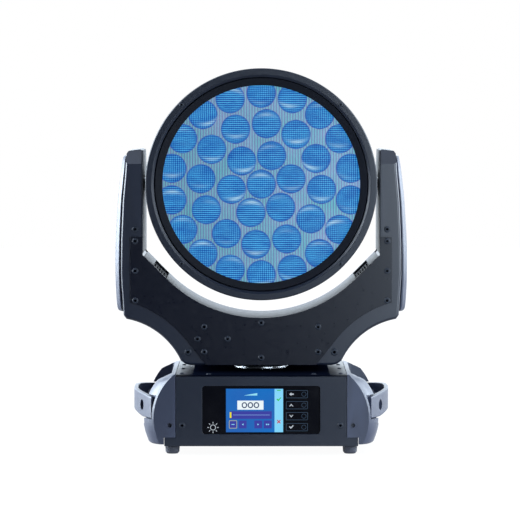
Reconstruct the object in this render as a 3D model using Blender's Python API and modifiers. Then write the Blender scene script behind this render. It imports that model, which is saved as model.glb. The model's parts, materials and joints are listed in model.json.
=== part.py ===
"""Moving head wash light: base with display and handles, pan yoke, tilting LED head.

The model is built in metres with +Z up.  The origin is on the pan axis at floor level, and
the front of the light looks along -Y.  The named dimensions are in millimetres, and the
helper functions turn them into metres when they make a mesh.
"""
import math

import bmesh
import bpy
from mathutils import Matrix, Vector

MM = 0.001
GAP = 0.3

# ------------------------------------------------------------------ driving dimensions, mm
# base
BASE_HALF_W = 112.3
BASE_HALF_D = 120.5
BASE_BOTTOM = 10.8
BASE_TOP = 105.3
FLANGE_HALF_W = 127.5
FLANGE_TOP = 21.8
SHEET = 1.5
PANEL_T = 2.3
TOP_T = 2.3
FOOT_R = 9.65
FOOT_X = 117.0
FOOT_Y = 105.0

# display window and keys, in the front panel's plane (X, Z)
WINDOW_X = 77.6
WINDOW_Z = (26.6, 90.2)
WINDOW_R = 4.0
LCD_X = (-46.3, 28.8)
LCD_Z = (29.1, 86.1)
KEY_X = (32.3, 61.7)
KEY_H = 11.3
KEY_Z = (79.3, 64.8, 50.3, 35.8)
KEY_NAMES = ("key_escape", "key_next", "key_previous", "key_enter")

# side covers and carrying handles
COVER_ARC_C = (66.5, 47.5)
COVER_ARC_R = 75.0
COVER_BULGE = 15.5
COVER_FLARE = 9
COVER_WALL = 3.0
WELL_X = 118.5
WELL_Z = 36.0
WELL_HALF_D = 96.0
NOTCH_Z = (46.0, 77.8)
NOTCH_PLAN = ((138.0, -118.0), (145.6, -95.0), (175.0, -95.0), (175.0, -118.0))
HANDLE_LOW = (46.6, 54.0)
HANDLE_HIGH = (75.1, 81.8)
HANDLE_T = 5.6
HANDLE_OUT = 168.0
HANDLE_END = 111.0
HANDLE_FRONT = ((142.6, -111.0), (149.0, -98.0), (155.5, -80.0), (160.5, -66.0), (164.6, -50.0),
                (167.2, -32.0))
HANDLE_HOLE_R = 7.0
HANDLE_HOLE = (155.5, 80.0, 62.2)

# rear panel and boards
SOCKETS = (("power_inlet", -78.0), ("power_outlet", -40.0), ("data_socket_in", 30.0),
           ("data_socket_out", 68.0))
SOCKET_Z = 62.0
SOCKET_R = 11.8
BOARD_Y = (-108.0, -106.4)
CHIPS = ((-60.0, -20.0, 40.0, 70.0), (5.0, 45.0, 45.0, 62.0), (58.0, 80.0, 50.0, 80.0))

# pan bearing and drive
HUB_R = 26.0
HUB_BORE_R = 19.0
HUB_FLANGE_R = 36.0
PAN_PULLEY_R = 38.0
MOTOR_PULLEY_R = 7.5
PAN_PULLEY_Z = (121.0, 128.0)
PAN_MOTOR_X = -85.0
MOTOR_HALF = 17.0
BELT_T = 1.2

# yoke
YOKE_HALF_D = 75.0
YOKE_BOTTOM = 114.0
YOKE_FOOT_X = 94.0
YOKE_WALL = 3.0
ARM_INNER_X = 158.6
ARM_TOP = 400.5
ARM_OUTSIDE = ((182.6, 180.6), (186.0, 234.0), (185.5, 280.0), (183.2, 332.0), (179.7, 372.0),
               (178.6, 394.5), (176.2, 398.2))
# height, inner X, outer X and half depth of the arms' outer covers
ARM_COVER_LEVELS = ((184.8, 183.4, 187.6, 58.0), (190.0, 184.0, 191.5, 64.5),
                    (242.0, 186.8, 194.0, 69.0), (280.0, 186.3, 193.4, 69.0),
                    (330.0, 184.3, 190.4, 68.0), (372.0, 180.6, 186.2, 62.0),
                    (386.0, 180.0, 184.4, 52.0), (391.0, 179.6, 183.2, 44.0))
TILT_Z = 354.0
VALLEY_R = 178.8
HAUNCH_C = (197.0, 77.0)
HAUNCH_R = 100.0
PLATE_ARC_C = (213.0, 58.0)
PLATE_ARC_R = 145.0
PLATE_X = 173.4
PLATE_TOP = 284.8
PLATE_T = 1.2
LINER_T = 1.5
LINER_REACH = 42.0
VENT_NEAR = 0.5
VENT_LENGTH = 25.0
VENT_HALF_D = 66.0
EDGE_ROUND = 3.5
SHELF_Z = (131.5, 134.5)
WEB_X = (150.0, 153.0)
ARM_CHAMFER_Z = 381.0
ARM_OPENING_Z = (208.0, 362.0)
ARM_PLATE_Z = (262.5, 399.0)
SHAFT_HOLE_R = 12.0
TILT_MOTOR_Z = 186.0
TILT_PULLEY_X = (162.0, 168.0)
TILT_PULLEY_R = 28.0

# head, as (radius, forward) from the tilt axis
RING_R = 153.5
RING_FRONT = 81.5
RING_BACK = 51.7
RING_BORE_R = 146.5
LEDGE_R = 134.6
LEDGE_F = (67.0, 70.0)
LEDGE_SEAT_R = 142.0
GLASS_R = 141.0
GLASS_F = (62.6, 66.6)
VISIBLE_R = 131.0
CLAMP_R = 141.2
LENS_PLATE_R = 141.0
LENS_F = (56.0, 59.5)
CELL_R = 19.7
CELL_RISE = 1.8
CELL_RINGS = ((0.0, 1, 0.0), (40.2, 6, 10.0), (80.4, 12, 25.0), (120.5, 18, 10.0))
LED_BOARD_R = 128.0
LED_BOARD_F = (30.0, 32.0)
ZOOM_SCREW_R = 134.0
ZOOM_SCREW_ANGLE = math.radians(300.0)
SHAFT_R = 8.0
SHAFT_BORE_R = 5.0
FAN_R = 49.0
FAN_F = (-46.0, -30.0)

# ------------------------------------------------------------------ scene and collections
for old in list(bpy.data.objects):
    bpy.data.objects.remove(old, do_unlink=True)

PARTS = bpy.data.collections.new("moving_head_light")
CUTTERS = bpy.data.collections.new("cutters")
for collection in (PARTS, CUTTERS):
    bpy.context.scene.collection.children.link(collection)


def material(name, colour, roughness, metallic=0.0):
    """A Principled material from a linear RGB colour."""
    mat = bpy.data.materials.new(name)
    mat.use_nodes = True
    shader = mat.node_tree.nodes["Principled BSDF"]
    shader.inputs["Base Color"].default_value = (*colour, 1.0)
    shader.inputs["Roughness"].default_value = roughness
    shader.inputs["Metallic"].default_value = metallic
    return mat


PAINT = (0.030, 0.036, 0.052)
PLASTIC = (0.045, 0.052, 0.072)
FINISH = {
    "sheet": (PAINT, 0.55, 0.3),
    "plastic": (PLASTIC, 0.45, 0.0),
    "plate": ((0.012, 0.015, 0.026), 0.5, 0.2),
    "rubber": ((0.02, 0.02, 0.024), 0.8, 0.0),
    "steel": ((0.55, 0.56, 0.58), 0.3, 1.0),
    "aluminium": ((0.70, 0.71, 0.73), 0.35, 1.0),
    "board": ((0.02, 0.12, 0.06), 0.5, 0.0),
    "black": ((0.004, 0.004, 0.006), 0.2, 0.0),
    "screen": ((0.02, 0.15, 0.50), 0.15, 0.0),
    "glass": ((0.30, 0.55, 0.65), 0.1, 0.0),
    "lens": ((0.03, 0.20, 0.60), 0.15, 0.0),
}

AXES = {}


def axis_empty(name, place, parent=None):
    """An empty that stands on a joint's axis; the pieces that turn with it are its children."""
    empty = bpy.data.objects.new(name, None)
    empty.empty_display_size = 0.02
    empty.location = Vector(place) * MM
    PARTS.objects.link(empty)
    if parent is not None:
        empty.parent = parent
        empty.location = (Vector(place) - Vector(AXES[parent.name])) * MM
    AXES[name] = place
    return empty


def finish(obj, kind, axis=None, smooth=True):
    """Give a piece its own material and its joint's empty, and shade its round faces."""
    colour, roughness, metallic = FINISH[kind]
    obj.data.materials.clear()
    obj.data.materials.append(material(obj.name + "_material", colour, roughness, metallic))
    if smooth:
        obj.data.shade_smooth()
        obj.data.set_sharp_from_angle(angle=math.radians(35))
    if axis is not None:
        obj.parent = axis
        obj.matrix_parent_inverse = Matrix.Translation(Vector(AXES[axis.name]) * -MM)
    return obj


def link(name, mesh, cutter=False):
    obj = bpy.data.objects.new(name, mesh)
    (CUTTERS if cutter else PARTS).objects.link(obj)
    if cutter:
        obj.hide_render = True
        obj.display_type = "WIRE"
    return obj


# ------------------------------------------------------------------ shape helpers
def box(name, low, high, cutter=False):
    """A block between two corners."""
    low, high = Vector(low) * MM, Vector(high) * MM
    bm = bmesh.new()
    size = Matrix.Diagonal((*(high - low), 1.0))
    bmesh.ops.create_cube(bm, size=1.0, matrix=Matrix.Translation((low + high) / 2) @ size)
    mesh = bpy.data.meshes.new(name)
    bm.to_mesh(mesh)
    bm.free()
    return link(name, mesh, cutter)


TURN = {
    "X": Matrix(((0, 0, 1, 0), (1, 0, 0, 0), (0, 1, 0, 0), (0, 0, 0, 1))),
    "Y": Matrix(((1, 0, 0, 0), (0, 0, -1, 0), (0, 1, 0, 0), (0, 0, 0, 1))),
    "Z": Matrix.Identity(4),
}


def rod(name, radius, start, length, axis="Z", sides=24, cutter=False):
    """A cylinder from start along +X, -Y or +Z."""
    bm = bmesh.new()
    centre = Matrix.Translation((0, 0, length * MM / 2))
    bmesh.ops.create_cone(bm, cap_ends=True, segments=sides, radius1=radius * MM,
                          radius2=radius * MM, depth=length * MM,
                          matrix=Matrix.Translation(Vector(start) * MM) @ TURN[axis] @ centre)
    mesh = bpy.data.meshes.new(name)
    bm.to_mesh(mesh)
    bm.free()
    return link(name, mesh, cutter)


def turned(name, profile, centre, axis="Z", steps=48, closed=True, cutter=False):
    """Turn a (radius, height) profile about an axis; height runs along +X, -Y or +Z."""
    mesh = bpy.data.meshes.new(name)
    points = [(r * MM, 0.0, h * MM) for r, h in profile]
    edges = [(i, i + 1) for i in range(len(points) - 1)]
    if closed:
        edges.append((len(points) - 1, 0))
    mesh.from_pydata(points, edges, [])
    obj = link(name, mesh, cutter)
    obj.matrix_world = Matrix.Translation(Vector(centre) * MM) @ TURN[axis]
    screw = obj.modifiers.new("turn", "SCREW")
    screw.axis = "Z"
    screw.angle = math.tau
    screw.steps = steps
    screw.render_steps = steps
    screw.use_merge_vertices = True
    screw.merge_threshold = 0.00001
    screw.use_smooth_shade = True
    return apply_modifiers(obj)


def apply_modifiers(obj):
    """Bake an object's modifiers and its place into its mesh."""
    bpy.context.view_layer.update()
    evaluated = obj.evaluated_get(bpy.context.evaluated_depsgraph_get())
    mesh = bpy.data.meshes.new_from_object(evaluated)
    mesh.transform(obj.matrix_world)
    obj.modifiers.clear()
    obj.matrix_world = Matrix.Identity(4)
    obj.data = mesh
    return obj


def plate(name, loops, low, high, axis="Y", cutter=False):
    """A flat outline with holes, between two planes.  Outlines are (X, Z) for axis Y,
    (X, Y) for axis Z and (Y, Z) for axis X."""
    curve = bpy.data.curves.new(name, "CURVE")
    curve.dimensions = "2D"
    curve.fill_mode = "BOTH"
    curve.extrude = (high - low) * MM / 2
    for loop in loops:
        spline = curve.splines.new("POLY")
        spline.points.add(len(loop) - 1)
        for point, (u, v) in zip(spline.points, loop):
            point.co = (u * MM, v * MM, 0.0, 1.0)
        spline.use_cyclic_u = True
    middle = (high + low) / 2
    offset = {"X": (middle, 0, 0), "Y": (0, middle, 0), "Z": (0, 0, middle)}[axis]
    drawn = bpy.data.objects.new(name + "_curve", curve)
    CUTTERS.objects.link(drawn)
    drawn.matrix_world = Matrix.Translation(Vector(offset) * MM) @ TURN[axis]
    bpy.context.view_layer.update()
    evaluated = drawn.evaluated_get(bpy.context.evaluated_depsgraph_get())
    mesh = bpy.data.meshes.new_from_object(evaluated)
    mesh.transform(drawn.matrix_world)
    bpy.data.objects.remove(drawn)
    bm = bmesh.new()
    bm.from_mesh(mesh)
    bmesh.ops.remove_doubles(bm, verts=bm.verts, dist=0.000005)
    bmesh.ops.recalc_face_normals(bm, faces=bm.faces)
    bm.to_mesh(mesh)
    bm.free()
    mesh.name = name
    return link(name, mesh, cutter)


def loft(name, sections, cutter=False, closed=True):
    """A skin over equal-length sections.  Closed rings are capped at both ends."""
    bm = bmesh.new()
    rings = [[bm.verts.new(Vector(p) * MM) for p in section] for section in sections]
    count = len(rings[0])
    spans = count if closed else count - 1
    for low, high in zip(rings, rings[1:]):
        for i in range(spans):
            j = (i + 1) % count
            bm.faces.new((low[i], low[j], high[j], high[i]))
    bm.faces.new(rings[0])
    bm.faces.new(rings[-1])
    bmesh.ops.recalc_face_normals(bm, faces=bm.faces)
    mesh = bpy.data.meshes.new(name)
    bm.to_mesh(mesh)
    bm.free()
    return link(name, mesh, cutter)


def combine(obj, other, operation="DIFFERENCE"):
    """Cut or join one solid with another, by an exact Boolean."""
    modifier = obj.modifiers.new(other.name, "BOOLEAN")
    modifier.operation = operation
    modifier.solver = "EXACT"
    modifier.object = other
    return obj


def bevel(obj, width, segments=2, angle=40):
    modifier = obj.modifiers.new("edges", "BEVEL")
    modifier.width = width * MM
    modifier.segments = segments
    modifier.limit_method = "ANGLE"
    modifier.angle_limit = math.radians(angle)
    modifier.harden_normals = False
    return obj


def solidify(obj, thickness, offset=-1.0):
    modifier = obj.modifiers.new("thickness", "SOLIDIFY")
    modifier.thickness = thickness * MM
    modifier.offset = offset
    modifier.use_even_offset = True
    return obj


# ------------------------------------------------------------------ outline helpers
def arc(centre, radius, start, end, steps):
    """Points along an arc, from one angle to another in degrees."""
    points = []
    for i in range(steps + 1):
        a = math.radians(start + (end - start) * i / steps)
        points.append((centre[0] + radius * math.cos(a), centre[1] + radius * math.sin(a)))
    return points


def circle(x, y, radius, steps=16):
    return arc((x, y), radius, 0, 360 * (steps - 1) / steps, steps - 1)


def rectangle(x0, x1, y0, y1, radius=0.0, steps=3):
    """A rectangle, with round corners if a radius is given."""
    if radius == 0.0:
        return [(x0, y0), (x1, y0), (x1, y1), (x0, y1)]
    corners = ((x1, y1, 0), (x0, y1, 90), (x0, y0, 180), (x1, y0, 270))
    points = []
    for cx, cy, a in corners:
        middle = (cx - radius if cx == x1 else cx + radius, cy - radius if cy == y1 else cy + radius)
        points += arc(middle, radius, a, a + 90, steps)
    return points


def both_sides(right):
    """Close an outline given for its right half, from bottom to top of the part."""
    return right + [(-x, z) for x, z in reversed(right)]


def inset(points, distance):
    """Move every edge of a counter-clockwise outline inwards."""
    moved = []
    for i, here in enumerate(points):
        before = Vector(points[i - 1])
        after = Vector(points[(i + 1) % len(points)])
        here = Vector(here)
        first = (here - before).normalized()
        second = (after - here).normalized()
        normal_a = Vector((-first.y, first.x))
        normal_b = Vector((-second.y, second.x))
        miter = (normal_a + normal_b).normalized()
        moved.append(tuple(here + miter * (distance / miter.dot(normal_a))))
    return moved


def ring_belt(big, small, length, inner_gap):
    """The two outlines of a belt round a big pulley at 0 and a small one at length."""
    loops = []
    for extra in (inner_gap + BELT_T, inner_gap):
        r_big, r_small = big + extra, small + extra
        lean = math.degrees(math.acos((r_big - r_small) / length))
        loops.append(arc((0, 0), r_big, lean, 360 - lean, 24)
                     + arc((length, 0), r_small, -lean, lean, 10))
    return loops


# ------------------------------------------------------------------ joint axes
PAN_AXIS = axis_empty("pan_axis", (0, 0, YOKE_BOTTOM))
TILT_AXIS = axis_empty("tilt_axis", (0, 0, TILT_Z), PAN_AXIS)
ZOOM_AXIS = axis_empty("zoom_axis", (0, -LENS_F[0], TILT_Z), TILT_AXIS)
FAN_AXIS = axis_empty("fan_axis", (0, -FAN_F[0], TILT_Z), TILT_AXIS)
SCREW_X = ZOOM_SCREW_R * math.cos(ZOOM_SCREW_ANGLE)
SCREW_Z = TILT_Z + ZOOM_SCREW_R * math.sin(ZOOM_SCREW_ANGLE)
ZOOM_SCREW_AXIS = axis_empty("zoom_screw_axis", (SCREW_X, 0, SCREW_Z), TILT_AXIS)
PAN_MOTOR_AXIS = axis_empty("pan_motor_axis", (PAN_MOTOR_X, 0, PAN_PULLEY_Z[0]), PAN_AXIS)
TILT_MOTOR_AXIS = axis_empty("tilt_motor_axis", (TILT_PULLEY_X[0], 0, TILT_MOTOR_Z), PAN_AXIS)


# ------------------------------------------------------------------ base: sheet metal
def base_chassis():
    """Folded sheet: floor, low flanges for the feet and two side walls."""
    wall, flange, top = BASE_HALF_W, FLANGE_HALF_W, BASE_TOP - TOP_T - GAP
    path = [(wall, top), (wall, FLANGE_TOP), (flange, FLANGE_TOP), (flange, BASE_BOTTOM)]
    path += [(-x, z) for x, z in reversed(path)]
    depth = BASE_HALF_D - PANEL_T - GAP
    bm = bmesh.new()
    front = [bm.verts.new(Vector((x, -depth, z)) * MM) for x, z in path]
    back = [bm.verts.new(Vector((x, depth, z)) * MM) for x, z in path]
    for i in range(len(path) - 1):
        bm.faces.new((front[i], front[i + 1], back[i + 1], back[i]))
    mesh = bpy.data.meshes.new("base_chassis")
    bm.to_mesh(mesh)
    bm.free()
    finish(solidify(link("base_chassis", mesh), SHEET), "sheet", smooth=False)


def panel_outline():
    top = BASE_TOP - TOP_T - GAP
    return [(-FLANGE_HALF_W, BASE_BOTTOM), (FLANGE_HALF_W, BASE_BOTTOM),
            (FLANGE_HALF_W, FLANGE_TOP), (BASE_HALF_W, FLANGE_TOP), (BASE_HALF_W, top),
            (-BASE_HALF_W, top), (-BASE_HALF_W, FLANGE_TOP), (-FLANGE_HALF_W, FLANGE_TOP)]


def front_panel():
    window = rectangle(-WINDOW_X, WINDOW_X, *WINDOW_Z, WINDOW_R)
    panel = plate("front_panel", [panel_outline(), window], -BASE_HALF_D, PANEL_T - BASE_HALF_D)
    finish(panel, "sheet")


def rear_panel():
    holes = [circle(x, SOCKET_Z, SOCKET_R + GAP, 20) for _, x in SOCKETS]
    panel = plate("rear_panel", [panel_outline()] + holes, BASE_HALF_D - PANEL_T, BASE_HALF_D)
    finish(panel, "sheet")


def sockets():
    """Chassis sockets, flush with the rear panel and held by a flange inside it."""
    for name, x in SOCKETS:
        profile = [(0.0, 22.0), (SOCKET_R, 22.0), (SOCKET_R, 5.6), (SOCKET_R + 2.6, 5.6),
                   (SOCKET_R + 2.6, PANEL_T + GAP), (SOCKET_R, PANEL_T + GAP), (SOCKET_R, 0.0),
                   (8.6, 0.0), (8.6, 12.0), (0.0, 12.0)]
        socket = turned(name, profile, (x, BASE_HALF_D, SOCKET_Z), "Y", 20, closed=False)
        finish(socket, "black")


def top_cover():
    outline = rectangle(-BASE_HALF_W, BASE_HALF_W, -BASE_HALF_D, BASE_HALF_D)
    hole = circle(0, 0, HUB_R + 2, 32)
    finish(plate("top_cover", [outline, hole], BASE_TOP - TOP_T, BASE_TOP, "Z"), "sheet")


# ------------------------------------------------------------------ base: covers and handles
def cover_outline(wall):
    """Front outline of the right side cover, with its wall removed if one is given."""
    x0 = BASE_HALF_W + 2 * GAP
    arc_points = arc(COVER_ARC_C, COVER_ARC_R - wall, 47, -24, 9)
    lip = FLANGE_HALF_W + GAP
    step = FLANGE_TOP + GAP
    if wall == 0.0:
        return ([(x0, BASE_TOP), (x0 + 3.5, BASE_TOP - 1.4)] + arc_points
                + [(133.2, 13.1), (lip, 13.1), (lip, step), (x0, step)])
    return ([(x0 - 1, 99.0), (x0 + 1, 98.8)] + arc_points
            + [(132.0, 25.5), (lip, 25.3), (lip - 1, 25.2), (x0 - 1, 25.1)])


def cover_sections(sign, wall):
    """Sections of a side cover from front to rear; its outside swells at mid depth."""
    x0 = BASE_HALF_W + 2 * GAP
    outline = cover_outline(wall)
    depth = BASE_HALF_D - wall
    sections = []
    for share in (-1.0, -0.975, -0.94, -0.9, -0.84, -0.7, 0.0, 0.7, 0.84, 0.9, 0.94, 0.975, 1.0):
        swell = COVER_BULGE * (1 - abs(share * depth / BASE_HALF_D) ** COVER_FLARE)
        section = []
        for x, z in outline:
            weight = min(1.0, max(0.0, (x - x0) / 10.0))
            section.append((sign * (x + swell * weight), share * depth, z))
        sections.append(section)
    return sections


def side_cover(side, sign):
    """Moulded cover with an open well behind the handle, a hollow back, and a notch near each
    end of the well where the handle's ends are seated."""
    cover = loft("side_cover_" + side, cover_sections(sign, 0.0))
    hollow = loft("cover_hollow_" + side, cover_sections(sign, COVER_WALL), cutter=True)
    x_out = 200.0
    near, far = sorted((sign * (WELL_X - COVER_WALL), sign * x_out))
    keep = box("well_wall_" + side, (near, -WELL_HALF_D - COVER_WALL, WELL_Z - COVER_WALL),
               (far, WELL_HALF_D + COVER_WALL, 120.0), cutter=True)
    near, far = sorted((sign * WELL_X, sign * x_out))
    well = box("well_" + side, (near, -WELL_HALF_D, WELL_Z), (far, WELL_HALF_D, 120.0),
               cutter=True)
    combine(hollow, keep)
    combine(cover, well)
    combine(cover, hollow)
    for end, turn in (("front", 1), ("rear", -1)):
        plan = [(sign * x, turn * y) for x, y in NOTCH_PLAN]
        combine(cover, plate("handle_notch_%s_%s" % (side, end), [plan], *NOTCH_Z, "Z", cutter=True))
    finish(cover, "plastic")


def handle_path():
    """Plan of the right handle's centre line, from its front end to its rear end."""
    front = list(HANDLE_FRONT)
    return front + [(HANDLE_OUT, 0.0)] + [(x, -y) for x, y in reversed(front)]


def handle_heights(y):
    """Lower and upper edge of the handle, which arches up towards the middle."""
    low_share = max(0.0, 1 - (y / HANDLE_HOLE[1]) ** 2)
    high_share = 1 - (y / HANDLE_END) ** 2
    low = HANDLE_LOW[0] + (HANDLE_LOW[1] - HANDLE_LOW[0]) * low_share
    high = HANDLE_HIGH[0] + (HANDLE_HIGH[1] - HANDLE_HIGH[0]) * high_share
    return low, high


def handle(side, sign):
    """A strap bent round the plan line, with a round hole near each end."""
    bm = bmesh.new()
    rows = []
    for x, y in handle_path():
        rows.append([bm.verts.new(Vector((sign * x, y, z)) * MM) for z in handle_heights(y)])
    for here, after in zip(rows, rows[1:]):
        bm.faces.new((here[0], after[0], after[1], here[1]))
    mesh = bpy.data.meshes.new("handle_" + side)
    bm.to_mesh(mesh)
    bm.free()
    strap = solidify(link("handle_" + side, mesh), HANDLE_T, offset=0.0)
    hole_x, hole_y, hole_z = HANDLE_HOLE
    for end, turn in (("front", -1), ("rear", 1)):
        name = "handle_hole_%s_%s" % (side, end)
        hole = rod(name, HANDLE_HOLE_R, (0, 0, -15), 30, sides=20, cutter=True)
        out = Vector((sign * 0.94, 0.34 * turn, 0.0)).to_track_quat("Z", "Y")
        place = Vector((sign * hole_x, turn * hole_y, hole_z)) * MM
        hole.matrix_world = Matrix.Translation(place) @ out.to_matrix().to_4x4()
        combine(strap, hole)
    finish(strap, "plastic")


def feet():
    for end, y in (("front", -FOOT_Y), ("rear", FOOT_Y)):
        for side, x in (("left", -FOOT_X), ("right", FOOT_X)):
            profile = [(0.0, BASE_BOTTOM - GAP), (FOOT_R, BASE_BOTTOM - GAP), (FOOT_R - 0.4, 2.0),
                       (FOOT_R - 2.0, 0.0), (0.0, 0.0)]
            foot = turned("foot_%s_%s" % (end, side), profile, (x, y, 0), "Z", 20, closed=False)
            finish(foot, "rubber")


# ------------------------------------------------------------------ base: display and boards
def display():
    """Black fascia behind the window, the screen in it and four keys that travel."""
    face = PANEL_T - BASE_HALF_D + GAP
    loops = [rectangle(-WINDOW_X - 5, WINDOW_X + 5, WINDOW_Z[0] - 3, WINDOW_Z[1] + 3),
             rectangle(LCD_X[0] - GAP, LCD_X[1] + GAP, LCD_Z[0] - GAP, LCD_Z[1] + GAP)]
    for z in KEY_Z:
        loops.append(rectangle(KEY_X[0] - GAP, KEY_X[1] + GAP, z - KEY_H / 2 - GAP,
                               z + KEY_H / 2 + GAP, 2.2))
    finish(plate("display_fascia", loops, face, face + 2.0), "black")
    screen = box("lcd_screen", (LCD_X[0], face + 0.3, LCD_Z[0]), (LCD_X[1], face + 4.0, LCD_Z[1]))
    finish(screen, "screen")
    for name, z in zip(KEY_NAMES, KEY_Z):
        outline = rectangle(*KEY_X, z - KEY_H / 2, z + KEY_H / 2, 2.0)
        axis = axis_empty(name + "_axis", (sum(KEY_X) / 2, face, z))
        finish(plate(name, [outline], face - 0.5, face + 3.0), "black", axis)


def boards():
    """Control board behind the display and the switching power supply on the floor."""
    low, high = BOARD_Y
    board = box("control_board", (-90, low, 24), (90, high, 96))
    for i, (x0, x1, z0, z1) in enumerate(CHIPS):
        chip = box("chip_%d" % i, (x0, high - 0.5, z0), (x1, high + 6.4, z1), cutter=True)
        combine(board, chip, "UNION")
    finish(board, "board")
    supply = box("power_supply", (-96, -70, BASE_BOTTOM + SHEET + GAP), (-20, 70, 72))
    for i in range(6):
        y = -55 + 22 * i
        slot = box("supply_slot_%d" % i, (-86, y - 3, 66), (-30, y + 3, 80), cutter=True)
        combine(supply, slot)
    finish(supply, "aluminium")


# ------------------------------------------------------------------ pan hub and drive
def pan_parts():
    """Hollow hub fixed to the base, its bearing and the fixed pulley the pan belt climbs."""
    profile = [(HUB_R, PAN_PULLEY_Z[1]), (HUB_R, YOKE_BOTTOM - 1.0), (30.0, YOKE_BOTTOM - 1.0),
               (HUB_FLANGE_R, BASE_TOP + 3.3), (HUB_FLANGE_R, BASE_TOP + GAP),
               (HUB_R, BASE_TOP + GAP), (HUB_R, 96.0), (HUB_BORE_R, 96.0),
               (HUB_BORE_R, PAN_PULLEY_Z[1])]
    finish(turned("pan_hub", profile, (0, 0, 0), "Z", 32), "aluminium")
    ring = [(32.7, 120.4), (32.7, 114.4), (HUB_R + GAP, 114.4), (HUB_R + GAP, 120.4)]
    finish(turned("pan_bearing", ring, (0, 0, 0), "Z", 32), "steel")
    z0, z1 = PAN_PULLEY_Z
    ring = [(PAN_PULLEY_R, z1), (PAN_PULLEY_R, z0), (HUB_R + GAP, z0), (HUB_R + GAP, z1)]
    finish(turned("pan_pulley", ring, (0, 0, 0), "Z", 40), "aluminium")
    loops = [[(-x, y) for x, y in loop] for loop in
             ring_belt(PAN_PULLEY_R, MOTOR_PULLEY_R, -PAN_MOTOR_X, GAP)]
    finish(plate("pan_belt", loops, z0 + 0.5, z1 - 0.5, "Z"), "rubber", PAN_AXIS)
    profile = [(0.0, 131.0 + 4.4), (2.5, 131.0 + 4.4), (2.5, z1), (MOTOR_PULLEY_R, z1),
               (MOTOR_PULLEY_R, z0), (0.0, z0)]
    pulley = turned("pan_motor_pulley", profile, (PAN_MOTOR_X, 0, 0), "Z", 20, closed=False)
    finish(pulley, "aluminium", PAN_MOTOR_AXIS)
    low = SHELF_Z[1] + GAP
    motor = box("pan_motor", (PAN_MOTOR_X - MOTOR_HALF, -MOTOR_HALF, low + 0.6),
                (PAN_MOTOR_X + MOTOR_HALF, MOTOR_HALF, low + 38))
    finish(bevel(motor, 3.0, 1), "steel", PAN_AXIS)


def tilt_parts():
    """Motor in the right foot of the yoke, belt up the arm, and the driven pulley."""
    x0, x1 = TILT_PULLEY_X
    motor = box("tilt_motor", (106.0, -MOTOR_HALF, TILT_MOTOR_Z - MOTOR_HALF),
                (WEB_X[0] - GAP, MOTOR_HALF, TILT_MOTOR_Z + MOTOR_HALF))
    finish(bevel(motor, 3.0, 1), "steel", PAN_AXIS)
    profile = [(0.0, x1), (MOTOR_PULLEY_R, x1), (MOTOR_PULLEY_R, x0), (2.5, x0),
               (2.5, WEB_X[0] + 0.2), (0.0, WEB_X[0] + 0.2)]
    pulley = turned("tilt_motor_pulley", profile, (0, 0, TILT_MOTOR_Z), "X", 20, closed=False)
    finish(pulley, "aluminium", TILT_MOTOR_AXIS)
    reach = TILT_Z - TILT_MOTOR_Z
    loops = [[(y, TILT_Z - x) for x, y in loop] for loop in
             ring_belt(TILT_PULLEY_R, MOTOR_PULLEY_R, reach, GAP)]
    finish(plate("tilt_belt", loops, x0 + 0.5, x1 - 0.5, "X"), "rubber", PAN_AXIS)
    ring = [(TILT_PULLEY_R, x1), (TILT_PULLEY_R, x0), (SHAFT_R + GAP, x0), (SHAFT_R + GAP, x1)]
    finish(turned("tilt_pulley", ring, (0, 0, TILT_Z), "X", 32), "aluminium", TILT_AXIS)
    for side, sign in (("left", -1), ("right", 1)):
        near, far = ARM_INNER_X + 0.1, ARM_INNER_X + YOKE_WALL
        lo, hi = sorted((sign * near, sign * far))
        ring = [(20.2, hi), (20.2, lo), (SHAFT_R + GAP, lo), (SHAFT_R + GAP, hi)]
        bearing = turned("tilt_bearing_" + side, ring, (0, 0, TILT_Z), "X", 24)
        finish(bearing, "steel", PAN_AXIS)
        outer, flange, inner = 170.0, (150.6, 153.6), 142.0
        profile = [(SHAFT_R, outer), (SHAFT_R, flange[1]), (18.0, flange[1]), (18.0, flange[0]),
                   (SHAFT_R, flange[0]), (SHAFT_R, inner), (SHAFT_BORE_R, inner),
                   (SHAFT_BORE_R, outer)]
        if sign < 0:
            profile = [(r, -h) for r, h in reversed(profile)]
        shaft = turned("tilt_shaft_" + side, profile, (0, 0, TILT_Z), "X", 24)
        finish(shaft, "steel", TILT_AXIS)


# ------------------------------------------------------------------ yoke
def yoke_outline():
    """Front outline of the yoke: haunches, tapered arms and a round valley for the head."""
    low = [(YOKE_FOOT_X, YOKE_BOTTOM), (101.0, YOKE_BOTTOM + 1.6)]
    haunch = arc(HAUNCH_C, HAUNCH_R, 154.5, 100.5, 8)
    outside = [*ARM_OUTSIDE, (ARM_INNER_X, ARM_TOP)]
    corner = (ARM_INNER_X, ARM_INNER_X + TILT_Z - VALLEY_R * math.sqrt(2))
    half = low + haunch + outside + [corner] + arc((0, TILT_Z), VALLEY_R, -45, -90, 10)
    return half + [(-x, z) for x, z in reversed(half[:-1])]


def opening_outline():
    """The hole in the front and rear faces that the cover plates close."""
    margin = 7.0
    low = [(64.0, YOKE_BOTTOM + 8.0)] + arc(PLATE_ARC_C, PLATE_ARC_R + margin, 152, 118, 6)
    edge = low[-1][0]
    shoulder = (edge, edge + TILT_Z - (VALLEY_R + margin) * math.sqrt(2))
    valley = arc((0, TILT_Z), VALLEY_R + margin, -45, -90, 8)
    half = low + [shoulder] + valley
    return half + [(-x, z) for x, z in reversed(half[:-1])]


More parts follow.
